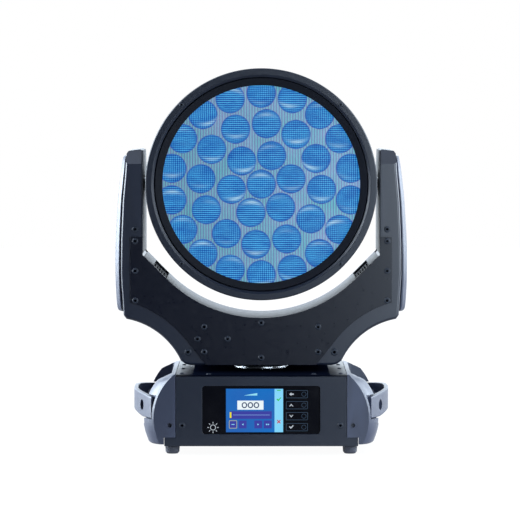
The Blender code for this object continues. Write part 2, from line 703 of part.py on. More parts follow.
def round_outer_edges(frame):
    """Mark the outline's outer edges, front and rear, for the frame's Bevel modifier."""
    bm = bmesh.new()
    bm.from_mesh(frame.data)
    weight = bm.edges.layers.float.new("bevel_weight_edge")
    for edge in bm.edges:
        a, b = (v.co / MM for v in edge.verts)
        on_face = abs(abs(a.y) - YOKE_HALF_D) < 0.01 and abs(a.y - b.y) < 0.01
        valley = all(math.hypot(p.x, p.z - TILT_Z) < VALLEY_R + 10 for p in (a, b))
        inner = all(abs(p.x) < ARM_INNER_X + 0.01 and p.z > YOKE_BOTTOM + 80 for p in (a, b))
        if on_face and edge.calc_face_angle(0.0) > 0.5 and not valley and not inner:
            edge[weight] = 1.0
    bm.to_mesh(frame.data)
    bm.free()


def yoke_frame():
    frame = plate("yoke_frame", [yoke_outline()], -YOKE_HALF_D, YOKE_HALF_D)
    round_outer_edges(frame)
    rounding = frame.modifiers.new("edges", "BEVEL")
    rounding.width = EDGE_ROUND * MM
    rounding.segments = 2
    rounding.limit_method = "WEIGHT"
    for name, sign in (("front", -1), ("rear", 1)):
        wedge = box("arm_top_" + name, (-210, -40, 0), (210, 40, 60), cutter=True)
        wedge.location = (0, sign * (YOKE_HALF_D + 0.01) * MM, ARM_CHAMFER_Z * MM)
        wedge.rotation_euler = (sign * math.radians(-45), 0, 0)
        combine(frame, wedge)
    cavity = plate("yoke_cavity", [inset(yoke_outline(), YOKE_WALL)],
                   -YOKE_HALF_D + YOKE_WALL, YOKE_HALF_D - YOKE_WALL, cutter=True)
    low, high = SHELF_Z
    shelf = box("motor_shelf", (-110, -74, low), (-60, 74, high), cutter=True)
    shelf_hole = rod("shelf_hole", 5.0, (PAN_MOTOR_X, 0, low - 5), 20, "Z", 16, cutter=True)
    web = box("motor_web", (WEB_X[0], -74, 150), (WEB_X[1], 74, 217), cutter=True)
    web_hole = rod("web_hole", 5.0, (WEB_X[0] - 5, 0, TILT_MOTOR_Z), 20, "X", 16, cutter=True)
    combine(shelf, shelf_hole)
    combine(web, web_hole)
    combine(cavity, shelf)
    combine(cavity, web)
    for name, sign in (("front", -1), ("rear", 1)):
        roof = box("arm_roof_" + name, (-210, -40, -4.5), (210, 40, 60), cutter=True)
        roof.location = (0, sign * (YOKE_HALF_D + 0.01) * MM, ARM_CHAMFER_Z * MM)
        roof.rotation_euler = (sign * math.radians(-45), 0, 0)
        combine(cavity, roof)
    combine(frame, cavity)
    combine(frame, plate("cover_opening", [opening_outline()], -90, 90, cutter=True))
    for side, sign in (("left", -1), ("right", 1)):
        lo, hi = sorted((sign * 172.0, sign * 220.0))
        combine(frame, box("arm_opening_" + side, (lo, -52, ARM_OPENING_Z[0]),
                           (hi, 52, ARM_OPENING_Z[1]), cutter=True))
        lo = min(sign * 150.0, sign * 168.0)
        seat = rod("bearing_seat_" + side, 20.5, (lo, 0, TILT_Z), 18, "X", cutter=True)
        combine(frame, seat)
        combine(frame, vent_cutter("frame_vent_" + side, sign, 0.0, 8.0))
    combine(frame, rod("hub_seat", 33.0, (0, 0, 105), 20, "Z", 32, cutter=True))
    finish(frame, "plastic", PAN_AXIS)


def slanted_box(name, sign, along, across, depth, cutter=False):
    """A block on the 45 degree shoulder: along the slope from its lower end, across the
    depth of the yoke, and outwards from the head's side."""
    obj = box(name, (along[0], across[0], -depth[1]), (along[1], across[1], -depth[0]), cutter)
    foot = Vector((VALLEY_R / math.sqrt(2), 0, TILT_Z - VALLEY_R / math.sqrt(2))) * MM
    slope = Matrix.Rotation(math.radians(-45), 4, "Y")
    place = Matrix.Translation(foot) @ slope
    if sign < 0:
        place = Matrix.Diagonal((-1, 1, 1, 1)) @ place
    obj.data.transform(place)
    if sign < 0:
        obj.data.flip_normals()
    return obj


def vent_cutter(name, sign, start, end):
    return slanted_box(name, sign, (VENT_NEAR, VENT_NEAR + VENT_LENGTH),
                       (-VENT_HALF_D, VENT_HALF_D), (start - 3.0, end), cutter=True)


def cover_plates():
    """Thin plates over the openings, front and rear, with their own lower outline."""
    gap_x = ARM_INNER_X - LINER_T - GAP + 0.2
    radius = VALLEY_R - LINER_T - GAP + 0.2
    low = [(73.0, YOKE_BOTTOM + 0.4)] + arc(PLATE_ARC_C, PLATE_ARC_R, 144.5, 107, 9)
    up = [(PLATE_X, 196.6), (PLATE_X, PLATE_TOP), (gap_x, PLATE_TOP)]
    corner = (gap_x, gap_x + TILT_Z - radius * math.sqrt(2))
    valley = arc((0, TILT_Z), radius, -45, -90, 12)
    half = low + up + [corner] + valley
    outline = half + [(-x, z) for x, z in reversed(half[:-1])]
    for name, y in (("yoke_front_plate", -YOKE_HALF_D - GAP - PLATE_T),
                    ("yoke_rear_plate", YOKE_HALF_D + GAP)):
        finish(plate(name, [outline], y, y + PLATE_T), "plate", PAN_AXIS)


def valley_liner():
    """Bent sheet that lines the valley between the arms, with a slot for each vent."""
    inner, outer = VALLEY_R - GAP - LINER_T, VALLEY_R - GAP
    reach = LINER_REACH / math.sqrt(2)
    lines = []
    for radius in (outer, inner):
        c = radius / math.sqrt(2)
        end = (c + reach, TILT_Z - c + reach)
        line = [end] + arc((0, TILT_Z), radius, -45, -135, 24) + [(-end[0], end[1])]
        lines.append(line)
    outline = lines[0] + list(reversed(lines[1]))
    liner = plate("valley_liner", [outline], -YOKE_HALF_D, YOKE_HALF_D)
    for side, sign in (("left", -1), ("right", 1)):
        combine(liner, vent_cutter("liner_vent_" + side, sign, 0.0, 8.0))
    finish(liner, "plate", PAN_AXIS)


def vent_grilles():
    """Louvred inserts in the shoulders, set back from the liner."""
    for side, sign in (("left", -1), ("right", 1)):
        grille = slanted_box("vent_grille_" + side, sign,
                             (VENT_NEAR + 0.4, VENT_NEAR + VENT_LENGTH - 0.4),
                             (-VENT_HALF_D + 0.4, VENT_HALF_D - 0.4), (1.2, 3.6))
        for i in range(5):
            x = VENT_NEAR + 4.0 + 4.2 * i
            slot = slanted_box("louvre_%s_%d" % (side, i), sign, (x, x + 1.8),
                               (-VENT_HALF_D + 18, VENT_HALF_D - 18), (0.0, 6.0), cutter=True)
            combine(grille, slot)
        finish(grille, "black", PAN_AXIS)


def arm_plates():
    """Flat sheets on the inner face of each arm, with a hole for the tilt shaft."""
    for side, sign in (("left", -1), ("right", 1)):
        lo, hi = sorted((sign * (ARM_INNER_X - GAP - LINER_T), sign * (ARM_INNER_X - GAP)))
        low, high = ARM_PLATE_Z
        slope = ARM_CHAMFER_Z - 1.0
        top = YOKE_HALF_D - (high - slope)
        outline = [(-YOKE_HALF_D, low), (YOKE_HALF_D, low), (YOKE_HALF_D, slope), (top, high),
                   (-top, high), (-YOKE_HALF_D, slope)]
        hole = circle(0, TILT_Z, SHAFT_HOLE_R, 20)
        sheet = plate("arm_plate_" + side, [outline, hole], lo, hi, "X")
        finish(sheet, "plate", PAN_AXIS)


def arm_covers():
    """Bulged outer cover of each arm, lofted through its levels."""
    for side, sign in (("left", -1), ("right", 1)):
        sections = []
        for z, x0, x1, half in ARM_COVER_LEVELS:
            soft = min(4.0, (x1 - x0) * 0.6)
            right = [(x0, half), (x1 - soft, half), (x1, half - 1.8 * soft)]
            ring = [(x, -y) for x, y in right] + list(reversed(right))
            sections.append([(sign * x, y, z) for x, y in ring])
        cover = loft("arm_cover_" + side, sections, closed=False)
        finish(solidify(cover, 2.4), "plastic", PAN_AXIS)


# ------------------------------------------------------------------ head
def head_turned(name, profile, kind, steps=48, closed=True, axis=None):
    piece = turned(name, profile, (0, 0, TILT_Z), "Y", steps, closed)
    return finish(piece, kind, TILT_AXIS if axis is None else axis)


def head_rings():
    """Front bezel, the clamp ring inside it and the glass behind both."""
    low, high = LEDGE_F
    bezel = [(RING_R - 1.2, RING_FRONT), (RING_R, RING_FRONT - 1.2), (RING_R, RING_BACK),
             (RING_BORE_R, RING_BACK), (RING_BORE_R, low), (LEDGE_R, low), (LEDGE_R, high),
             (LEDGE_SEAT_R, high), (LEDGE_SEAT_R, RING_FRONT - 2.5),
             (LEDGE_SEAT_R + 3.0, RING_FRONT)]
    head_turned("head_bezel", bezel, "sheet")
    back = high + GAP
    clamp = [(CLAMP_R - 0.8, back + 6.7), (CLAMP_R, back + 5.9), (CLAMP_R, back),
             (VISIBLE_R, back), (VISIBLE_R, back + 4.7)]
    head_turned("clamp_ring", clamp, "plate")
    low, high = GLASS_F
    head_turned("front_glass", [(0, high), (GLASS_R, high), (GLASS_R, low), (0, low)], "glass",
                48, closed=False)


def head_shell():
    """Drum behind the bezel, closing in towards the rear cover, with two shaft holes."""
    outside = [(150.5, RING_BACK - GAP), (149.5, 20.0), (149.0, 0.0), (147.0, -28.0),
               (141.0, -48.0), (131.0, -62.0), (119.0, -71.0)]
    inside = [(r - 3.0, f + (1.5 if r < 145 else 0.0)) for r, f in reversed(outside)]
    inside[0] = (113.0, -71.0)
    inside[-1] = (147.2, RING_BACK - GAP)
    shell = turned("head_shell", outside + inside, (0, 0, TILT_Z), "Y", 44)
    for side, x in (("left", -155.0), ("right", 140.0)):
        hole = rod("shaft_hole_" + side, SHAFT_R + 0.8, (x, 0, TILT_Z), 15, "X", 20, cutter=True)
        combine(shell, hole)
    finish(shell, "plastic", TILT_AXIS)


def rear_cover():
    """Round cover with a ring of vent slots in front of the fan."""
    cover = turned("rear_cover", [(0, -66.0), (112.0, -66.0), (112.0, -72.0), (106.0, -76.0),
                                  (0, -76.0)], (0, 0, TILT_Z), "Y", 36, closed=False)
    bowl = rod("cover_bowl", 104.0, (0, 73.2, TILT_Z), 10.0, "Y", 40, cutter=True)
    combine(cover, bowl)
    for i in range(9):
        z = TILT_Z - 44 + 11 * i
        half = math.sqrt(FAN_R ** 2 - (z - TILT_Z) ** 2) - 4
        slot = box("rear_slot_%d" % i, (-half, 60, z - 3), (half, 90, z + 3), cutter=True)
        combine(cover, slot)
    finish(cover, "plastic", TILT_AXIS)


def optics():
    """LED board, the sliding plate of 37 lenses and the screw that drives it."""
    low, high = LENS_F
    centre = (0, 0, TILT_Z)
    lens_plate = turned("zoom_lens_plate", [(0, high), (LENS_PLATE_R, high), (LENS_PLATE_R, low),
                                            (0, low)], centre, "Y", 48, closed=False)
    bm = bmesh.new()
    for radius, count, first in CELL_RINGS:
        for k in range(count):
            a = math.radians(first + 360.0 * k / count)
            place = Vector((radius * math.cos(a), -high, TILT_Z + radius * math.sin(a))) * MM
            bmesh.ops.create_cone(bm, cap_ends=True, segments=8, radius1=CELL_R * MM,
                                  radius2=(CELL_R - 1.5) * MM, depth=CELL_RISE * 2 * MM,
                                  matrix=Matrix.Translation(place) @ TURN["Y"])
    mesh = bpy.data.meshes.new("lenses")
    bm.to_mesh(mesh)
    bm.free()
    combine(lens_plate, link("lenses", mesh, cutter=True), "UNION")
    place = (SCREW_X, -low + 5, SCREW_Z)
    combine(lens_plate, rod("screw_hole", 2.8, place, 20, "Y", 12, cutter=True))
    finish(lens_plate, "lens", ZOOM_AXIS)
    low, high = LED_BOARD_F
    head_turned("led_board", [(0, high), (LED_BOARD_R, high), (LED_BOARD_R, low), (0, low)],
                "board", 40, closed=False)
    screw = [(0, 61.5), (2.2, 61.5), (2.2, 26.4), (0, 26.4)]
    piece = turned("zoom_screw", screw, (SCREW_X, 0, SCREW_Z), "Y", 12, closed=False)
    finish(piece, "steel", ZOOM_SCREW_AXIS)
    motor = rod("zoom_motor", 9.0, (SCREW_X, -6.0, SCREW_Z), 20, "Y", 20)
    finish(motor, "steel", TILT_AXIS)


def heat_sink():
    """Finned block that carries the LED board's heat to the fan."""
    base_f, plate_f, fin_f = 29.6, 24.0, -10.0
    fins, pitch, thick = 11, 16.0, 2.4
    outline = [(-85.0, -base_f), (85.0, -base_f)]
    for i in reversed(range(fins)):
        x = (i - (fins - 1) / 2) * pitch
        outline += [(x + thick, -plate_f), (x + thick / 2, -fin_f), (x - thick / 2, -fin_f),
                    (x - thick, -plate_f)]
    outline[2] = (85.0, -plate_f)
    outline[-1] = (-85.0, -plate_f)
    sink = plate("heat_sink", [outline], TILT_Z - 78.0, TILT_Z + 78.0, "Z")
    finish(sink, "aluminium", TILT_AXIS)


def fan():
    """Square fan frame behind the heat sink and its rotor."""
    low, high = FAN_F
    loops = [rectangle(-58, 58, TILT_Z - 58, TILT_Z + 58, 5), circle(0, TILT_Z, FAN_R + 2.0, 32)]
    finish(plate("fan_frame", loops, -high, -low), "black", TILT_AXIS)
    rotor = turned("fan_rotor", [(0, high - 2), (19.0, high - 2), (19.0, low + 2), (0, low + 2)],
                   (0, 0, TILT_Z), "Y", 24, closed=False)
    for i in range(7):
        blade = box("blade_%d" % i, (-6.5, -0.9, 15.0), (6.5, 0.9, FAN_R - 0.5), cutter=True)
        pitch = Matrix.Rotation(math.radians(38), 4, "Z")
        spin = Matrix.Rotation(math.tau * i / 7, 4, "Y")
        centre = Matrix.Translation(Vector((0, -(low + high) / 2, TILT_Z)) * MM)
        blade.matrix_world = centre @ spin @ pitch
        combine(rotor, blade, "UNION")
    finish(rotor, "black", FAN_AXIS)


# ------------------------------------------------------------------ build everything
base_chassis()
front_panel()
rear_panel()
sockets()
top_cover()
for side_name, side_sign in (("left", -1), ("right", 1)):
    side_cover(side_name, side_sign)
    handle(side_name, side_sign)
feet()
display()
boards()
pan_parts()
tilt_parts()
yoke_frame()
cover_plates()
valley_liner()
vent_grilles()
arm_plates()
arm_covers()
head_rings()
head_shell()
rear_cover()
optics()
heat_sink()
fan()
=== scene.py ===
"""Looks of the moving head light: fine shells, lens discs, display, screws and materials.

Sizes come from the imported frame.  Lengths in this script are in millimetres until a helper
makes a mesh in metres; +X is to the right, the front faces -Y and +Z is up.
"""
import json
import math
import random

import bmesh
import bpy
from mathutils import Matrix, Vector

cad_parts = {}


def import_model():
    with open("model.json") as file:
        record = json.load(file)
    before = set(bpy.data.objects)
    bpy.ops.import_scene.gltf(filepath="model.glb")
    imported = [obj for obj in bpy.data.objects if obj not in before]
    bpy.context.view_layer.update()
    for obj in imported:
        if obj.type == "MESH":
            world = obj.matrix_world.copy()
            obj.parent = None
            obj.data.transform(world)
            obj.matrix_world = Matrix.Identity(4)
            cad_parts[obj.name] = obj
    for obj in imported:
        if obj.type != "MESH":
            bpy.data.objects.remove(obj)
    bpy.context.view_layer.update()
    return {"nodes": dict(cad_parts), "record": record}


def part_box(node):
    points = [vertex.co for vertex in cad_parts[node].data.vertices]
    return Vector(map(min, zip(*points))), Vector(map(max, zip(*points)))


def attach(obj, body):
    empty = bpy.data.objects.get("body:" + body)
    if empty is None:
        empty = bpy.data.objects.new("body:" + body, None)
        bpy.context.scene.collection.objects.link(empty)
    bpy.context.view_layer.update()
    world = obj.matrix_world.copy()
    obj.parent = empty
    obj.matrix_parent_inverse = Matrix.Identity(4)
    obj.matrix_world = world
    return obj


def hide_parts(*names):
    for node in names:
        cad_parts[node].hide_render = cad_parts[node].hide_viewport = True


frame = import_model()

MM = 0.001
SCENE = bpy.context.scene


def edges(node):
    """Lowest and highest corner of a CAD node in millimetres."""
    low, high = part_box(node)
    return low / MM, high / MM


# ------------------------------------------------------------------ sizes from the frame
BEZEL_LOW, BEZEL_HIGH = edges("head_bezel")
TILT_Z = (BEZEL_LOW.z + BEZEL_HIGH.z) / 2
RING_R = (BEZEL_HIGH.x - BEZEL_LOW.x) / 2
RING_FRONT = -BEZEL_LOW.y
RING_BACK = -BEZEL_HIGH.y
CLAMP_LOW, CLAMP_HIGH = edges("clamp_ring")
CLAMP_R = (CLAMP_HIGH.x - CLAMP_LOW.x) / 2
GLASS_LOW, GLASS_HIGH = edges("front_glass")
GLASS_R = (GLASS_HIGH.x - GLASS_LOW.x) / 2
LENS_LOW = edges("zoom_lens_plate")[0]
PANEL_LOW, PANEL_HIGH = edges("front_panel")
REAR_LOW, REAR_HIGH = edges("rear_panel")
TOP_LOW, TOP_HIGH = edges("top_cover")
COVER_LOW = edges("side_cover_right")[0]
LCD_LOW, LCD_HIGH = edges("lcd_screen")
FASCIA_LOW, FASCIA_HIGH = edges("display_fascia")
YOKE_LOW, YOKE_HIGH = edges("yoke_frame")
PLATE_LOW, PLATE_HIGH = edges("yoke_front_plate")
ARM_LOW, ARM_HIGH = edges("arm_plate_right")
ARM_COVER_HIGH = edges("arm_cover_right")[1]
HUB_LOW, HUB_HIGH = edges("pan_hub")
BACK_LOW, BACK_HIGH = edges("rear_cover")
KEYS = ("key_escape", "key_next", "key_previous", "key_enter")

BASE_HALF_W = TOP_HIGH.x
BASE_HALF_D = TOP_HIGH.y
BASE_TOP = TOP_HIGH.z
FLANGE_HALF_W = PANEL_HIGH.x
FLANGE_TOP = 21.8
YOKE_HALF_D = YOKE_HIGH.y
YOKE_BOTTOM = YOKE_LOW.z
ARM_TOP = YOKE_HIGH.z
GAP = 0.3
LINER_T = ARM_HIGH.x - ARM_LOW.x
ARM_INNER_X = ARM_HIGH.x + GAP
VALLEY_R = 178.8
HAUNCH_C, HAUNCH_R = (197.0, 77.0), 100.0
PLATE_ARC_C, PLATE_ARC_R = (213.0, 58.0), 145.0
PLATE_X, PLATE_TOP = PLATE_HIGH.x, PLATE_HIGH.z
PLATE_GAP_X = ARM_INNER_X - LINER_T - GAP + 0.2
LINER_REACH = 42.0
VENT_NEAR, VENT_FAR, VENT_HALF_D = 0.5, 25.5, 66.0
ARM_CHAMFER_Z = 381.0
VISIBLE_R = 131.0
WELL_X, WELL_Z, WELL_HALF_D = 118.5, 36.0, 96.0
NOTCH_Z = (46.0, 77.8)
NOTCH_PLAN = ((138.0, -118.0), (145.6, -95.0), (175.0, -95.0), (175.0, -118.0))
WINDOW_X, WINDOW_Z, WINDOW_R = 77.6, (26.6, 90.2), 4.0
CELL_RINGS = ((0.0, 1, 0.0), (40.2, 6, 10.0), (80.4, 12, 25.0), (120.5, 18, 10.0))
CELL_R = 19.6
RIB = 2.75
PLATE_RIB = 3.6


# ------------------------------------------------------------------ node materials
def linear(r, g, b):
    """Screen colour, 0 to 255, as linear RGB."""
    def channel(v):
        v /= 255.0
        return v / 12.92 if v <= 0.04045 else ((v + 0.055) / 1.055) ** 2.4
    return (channel(r), channel(g), channel(b))


class Shader:
    """A small helper that adds and wires nodes of one material."""

    def __init__(self, name):
        self.mat = bpy.data.materials.new(name)
        self.mat.use_nodes = True
        self.tree = self.mat.node_tree
        self.bsdf = self.tree.nodes["Principled BSDF"]
        self.out = self.tree.nodes["Material Output"]
        self.coords = self.tree.nodes.new("ShaderNodeTexCoord").outputs["Object"]

    def node(self, kind, **values):
        node = self.tree.nodes.new("ShaderNode" + kind)
        for key, value in values.items():
            setattr(node, key, value)
        return node

    def link(self, a, b):
        self.tree.links.new(a, b)

    def put(self, socket, value):
        """Wire a socket, or set a plain value or colour."""
        target = self.bsdf.inputs[socket] if isinstance(socket, str) else socket
        if isinstance(value, bpy.types.NodeSocket):
            self.link(value, target)
        elif isinstance(value, tuple):
            target.default_value = (*value, 1.0) if len(value) == 3 else value
        else:
            target.default_value = value

    def math(self, operation, a, b=0.0, c=0.0, clamp=False):
        node = self.node("Math", operation=operation, use_clamp=clamp)
        for socket, value in zip(node.inputs, (a, b, c)):
            self.put(socket, value)
        return node.outputs[0]

    def noise(self, scale, detail=3.0, rough=0.5, stretch=None):
        node = self.node("TexNoise")
        node.inputs["Scale"].default_value = scale
        node.inputs["Detail"].default_value = detail
        node.inputs["Roughness"].default_value = rough
        source = self.coords
        if stretch is not None:
            mapping = self.node("Mapping")
            mapping.inputs["Scale"].default_value = stretch
            self.link(self.coords, mapping.inputs["Vector"])
            source = mapping.outputs["Vector"]
        self.link(source, node.inputs["Vector"])
        return node.outputs["Fac"]

    def spread(self, factor, low, high):
        """Map 0..1 onto low..high."""
        node = self.node("MapRange")
        self.put(node.inputs["Value"], factor)
        node.inputs["From Min"].default_value = 0.3
        node.inputs["From Max"].default_value = 0.7
        node.inputs["To Min"].default_value = low
        node.inputs["To Max"].default_value = high
        return node.outputs["Result"]

    def mix(self, factor, a, b, blend="MIX"):
        node = self.node("Mix", data_type="RGBA", blend_type=blend)
        self.put(node.inputs[0], factor)
        self.put(node.inputs[6], a)
        self.put(node.inputs[7], b)
        return node.outputs[2]

    def bump(self, height, strength, distance_mm):
        node = self.node("Bump")
        node.inputs["Strength"].default_value = strength
        node.inputs["Distance"].default_value = distance_mm * MM
        self.put(node.inputs["Height"], height)
        return node.outputs["Normal"]

    def edge_wear(self, low=0.53, high=0.60):
        """One along exposed edges, from the surface's pointiness."""
        geometry = self.node("NewGeometry")
        node = self.node("MapRange")
        self.link(geometry.outputs["Pointiness"], node.inputs["Value"])
        node.inputs["From Min"].default_value = low
        node.inputs["From Max"].default_value = high
        return node.outputs["Result"]


def scaled(colour, factor):
    return tuple(min(1.0, c * factor) for c in colour)


def painted_end_reflection(s):
    """Painted reflection level of the top cover: strong at its two ends, weak under the yoke, a painted
    shade for the yoke's shadow on the cover.
    """
    split = s.node("SeparateXYZ")
    s.link(s.coords, split.inputs[0])
    past = s.math("SUBTRACT", s.math("ABSOLUTE", split.outputs["X"]), 0.090)
    return s.math("MULTIPLY", s.math("MULTIPLY", past, 60.0, clamp=True), 0.6)


def powder_coat(name, colour, grain=0.18, rough=0.5, lump=0.35, shine=0.5):
    """Fine orange-peel powder coat with faint dust, and paler worn edges; shine is a level
    or a function that wires one."""
    s = Shader(name)
    speck = s.mix(s.noise(950.0, 2.0, 0.6), scaled(colour, 1 - grain), scaled(colour, 1 + grain))
    tone = s.mix(s.spread(s.noise(14.0, 4.0, 0.6), 0.0, 0.35), speck, scaled(colour, 1.2))
    wear = s.math("MULTIPLY", s.edge_wear(), s.spread(s.noise(90.0, 4.0, 0.7), 0.1, 0.45))
    s.put("Base Color", s.mix(wear, tone, scaled(colour, 2.2)))
    s.put("Roughness", s.spread(s.noise(160.0, 5.0, 0.7), rough - 0.06, rough + 0.07))
    s.put("Specular IOR Level", shine(s) if callable(shine) else shine)
    s.put("Normal", s.bump(s.noise(1500.0, 3.0, 0.7), lump, 0.06))
    return s.mat


def moulded(name, colour, rough=0.42, spark=700.0):
    """Spark-eroded plastic: fine pits, faint flow marks, paler on rubbed edges."""
    s = Shader(name)
    pits = s.node("TexVoronoi", feature="F1")
    pits.inputs["Scale"].default_value = spark
    s.link(s.coords, pits.inputs["Vector"])
    flow = s.noise(8.0, 5.0, 0.6)
    tone = s.mix(s.spread(flow, 0.0, 1.0), scaled(colour, 0.96), scaled(colour, 1.05))
    wear = s.math("MULTIPLY", s.edge_wear(), 0.35)
    s.put("Base Color", s.mix(wear, tone, scaled(colour, 1.9)))
    s.put("Roughness", s.spread(s.noise(220.0, 4.0, 0.7), rough - 0.04, rough + 0.05))
    s.put("Specular IOR Level", 0.55)
    s.put("Normal", s.bump(pits.outputs["Distance"], 0.2, 0.05))
    return s.mat


def screw_black(name, colour):
    """Dull black screw head; the faces inside the hexagon carry bore = 1 and are painted black without
    reflection, a painted shade in the socket.
    """
    s = Shader(name)
    bore = s.node("Attribute", attribute_name="bore").outputs["Fac"]
    marks = s.noise(400.0, 4.0, 0.7)
    tone = s.mix(s.spread(marks, 0.0, 1.0), scaled(colour, 0.8), scaled(colour, 1.25))
    wear = s.math("MULTIPLY", s.edge_wear(), 0.5)
    tone = s.mix(wear, tone, scaled(colour, 2.4))
    # painted shade: the socket faces go black and lose their reflection
    s.put("Base Color", s.mix(bore, tone, (0.0005, 0.0005, 0.0015)))
    s.put("Specular IOR Level", s.math("SUBTRACT", 0.32, s.math("MULTIPLY", bore, 0.32)))
    s.put("Roughness", s.spread(marks, 0.38, 0.52))
    s.put("Normal", s.bump(marks, 0.12, 0.03))
    return s.mat


def metal(name, colour, rough=0.28, stretch=(1.0, 1.0, 60.0), depth=0.15):
    """Bare metal with fine tool marks."""
    s = Shader(name)
    marks = s.noise(120.0, 6.0, 0.7, stretch)
    s.put("Base Color", s.mix(s.spread(marks, 0.0, 1.0), scaled(colour, 0.86), scaled(colour, 1.06)))
    s.put("Roughness", s.spread(marks, rough - 0.08, rough + 0.10))
    s.put("Metallic", 1.0)
    s.put("Normal", s.bump(marks, depth, 0.03))
    return s.mat


def rubber(name, colour):
    s = Shader(name)
    dust = s.noise(60.0, 6.0, 0.7)
    s.put("Base Color", s.mix(s.spread(dust, 0.0, 0.5), colour, scaled(colour, 2.6)))
    s.put("Roughness", s.spread(s.noise(500.0, 3.0), 0.62, 0.80))
    s.put("Normal", s.bump(s.noise(1200.0, 3.0, 0.7), 0.3, 0.08))
    return s.mat


def gloss(name, colour, rough=0.12, shine=0.3):
    """Polished panel with fingerprints and hairline scuffs."""
    s = Shader(name)
    smear = s.noise(45.0, 5.0, 0.65)
    s.put("Base Color", s.mix(s.spread(smear, 0.0, 0.4), colour, scaled(colour, 1.4)))
    s.put("Roughness", s.spread(smear, rough, rough + 0.12))
    s.put("Specular IOR Level", shine)
    s.put("Normal", s.bump(s.noise(700.0, 2.0), 0.05, 0.02))
    return s.mat


def lit(name, colour, strength=1.0, second=None, grid=True):
    """A lit area of the display: even glow, a slow gradient and the pixel grid; without the grid it also
    draws key rims and icons, print shown as glow, a painted light.
    """
    s = Shader(name)
    tone = s.mix(s.spread(s.noise(16.0, 1.0), 0.0, 1.0), colour, second or scaled(colour, 0.93))
    if grid:
        split = s.node("SeparateXYZ")
        s.link(s.coords, split.inputs[0])
        lines = s.math("SINE", s.math("MULTIPLY", split.outputs["Z"], math.tau / (0.235 * MM)))
        tone = s.mix(s.math("MULTIPLY_ADD", lines, 0.03, 0.03), tone, scaled(colour, 0.6))
    s.put("Base Color", scaled(colour, 0.04))
    s.put("Emission Color", tone)
    s.put("Emission Strength", strength)
    s.put("Specular IOR Level", 0.1)
    s.put("Roughness", s.spread(s.noise(60.0, 4.0), 0.25, 0.4))
    return s.mat


def board(name, colour):
    """Solder mask with tracks and small parts."""
    s = Shader(name)
    brick = s.node("TexBrick")
    brick.inputs["Scale"].default_value = 90.0
    s.link(s.coords, brick.inputs["Vector"])
    s.put(brick.inputs["Color1"], colour)
    s.put(brick.inputs["Color2"], scaled(colour, 0.7))
    s.put(brick.inputs["Mortar"], scaled(colour, 1.8))
    s.put("Base Color", brick.outputs["Color"])
    s.put("Roughness", s.spread(s.noise(200.0), 0.35, 0.55))
    s.put("Normal", s.bump(brick.outputs["Fac"], 0.2, 0.05))
    return s.mat


def ribbed_plate(name):
    """Clear plate between the lens discs: teal and lilac bands under upright ribs, drawn as glow, a
    painted light that grows brighter towards the right.
    """
    s = Shader(name)
    split = s.node("SeparateXYZ")
    s.link(s.coords, split.inputs[0])
    wobble = s.math("MULTIPLY", s.noise(30.0, 2.0), 0.0009)
    x = s.math("ADD", split.outputs["X"], wobble)
    wave = s.math("SINE", s.math("MULTIPLY", x, math.tau / (PLATE_RIB * MM)))
    band = s.spread(s.math("MULTIPLY_ADD", wave, 0.30, 0.5), 0.0, 1.0)
    patch = s.spread(s.noise(22.0, 3.0, 0.55), 0.0, 1.0)
    pale = s.mix(patch, linear(92, 190, 196), linear(134, 178, 210))
    dark = s.mix(patch, linear(88, 128, 172), linear(132, 138, 188))
    tone = s.mix(band, dark, pale)
    tone = s.mix(s.spread(s.noise(340.0, 3.0, 0.6), 0.0, 0.2), tone, linear(70, 96, 140))
    s.put("Base Color", scaled((1.0, 1.0, 1.0), 0.04))
    # painted light: the plate glows with its bands, and the glow grows brighter towards the right
    s.put("Emission Color", tone)
    s.put("Emission Strength", s.math("MULTIPLY_ADD", split.outputs["X"], 1.1, 0.98))
    s.put("Specular IOR Level", 0.03)
    s.put("Roughness", 0.4)
    return s.mat


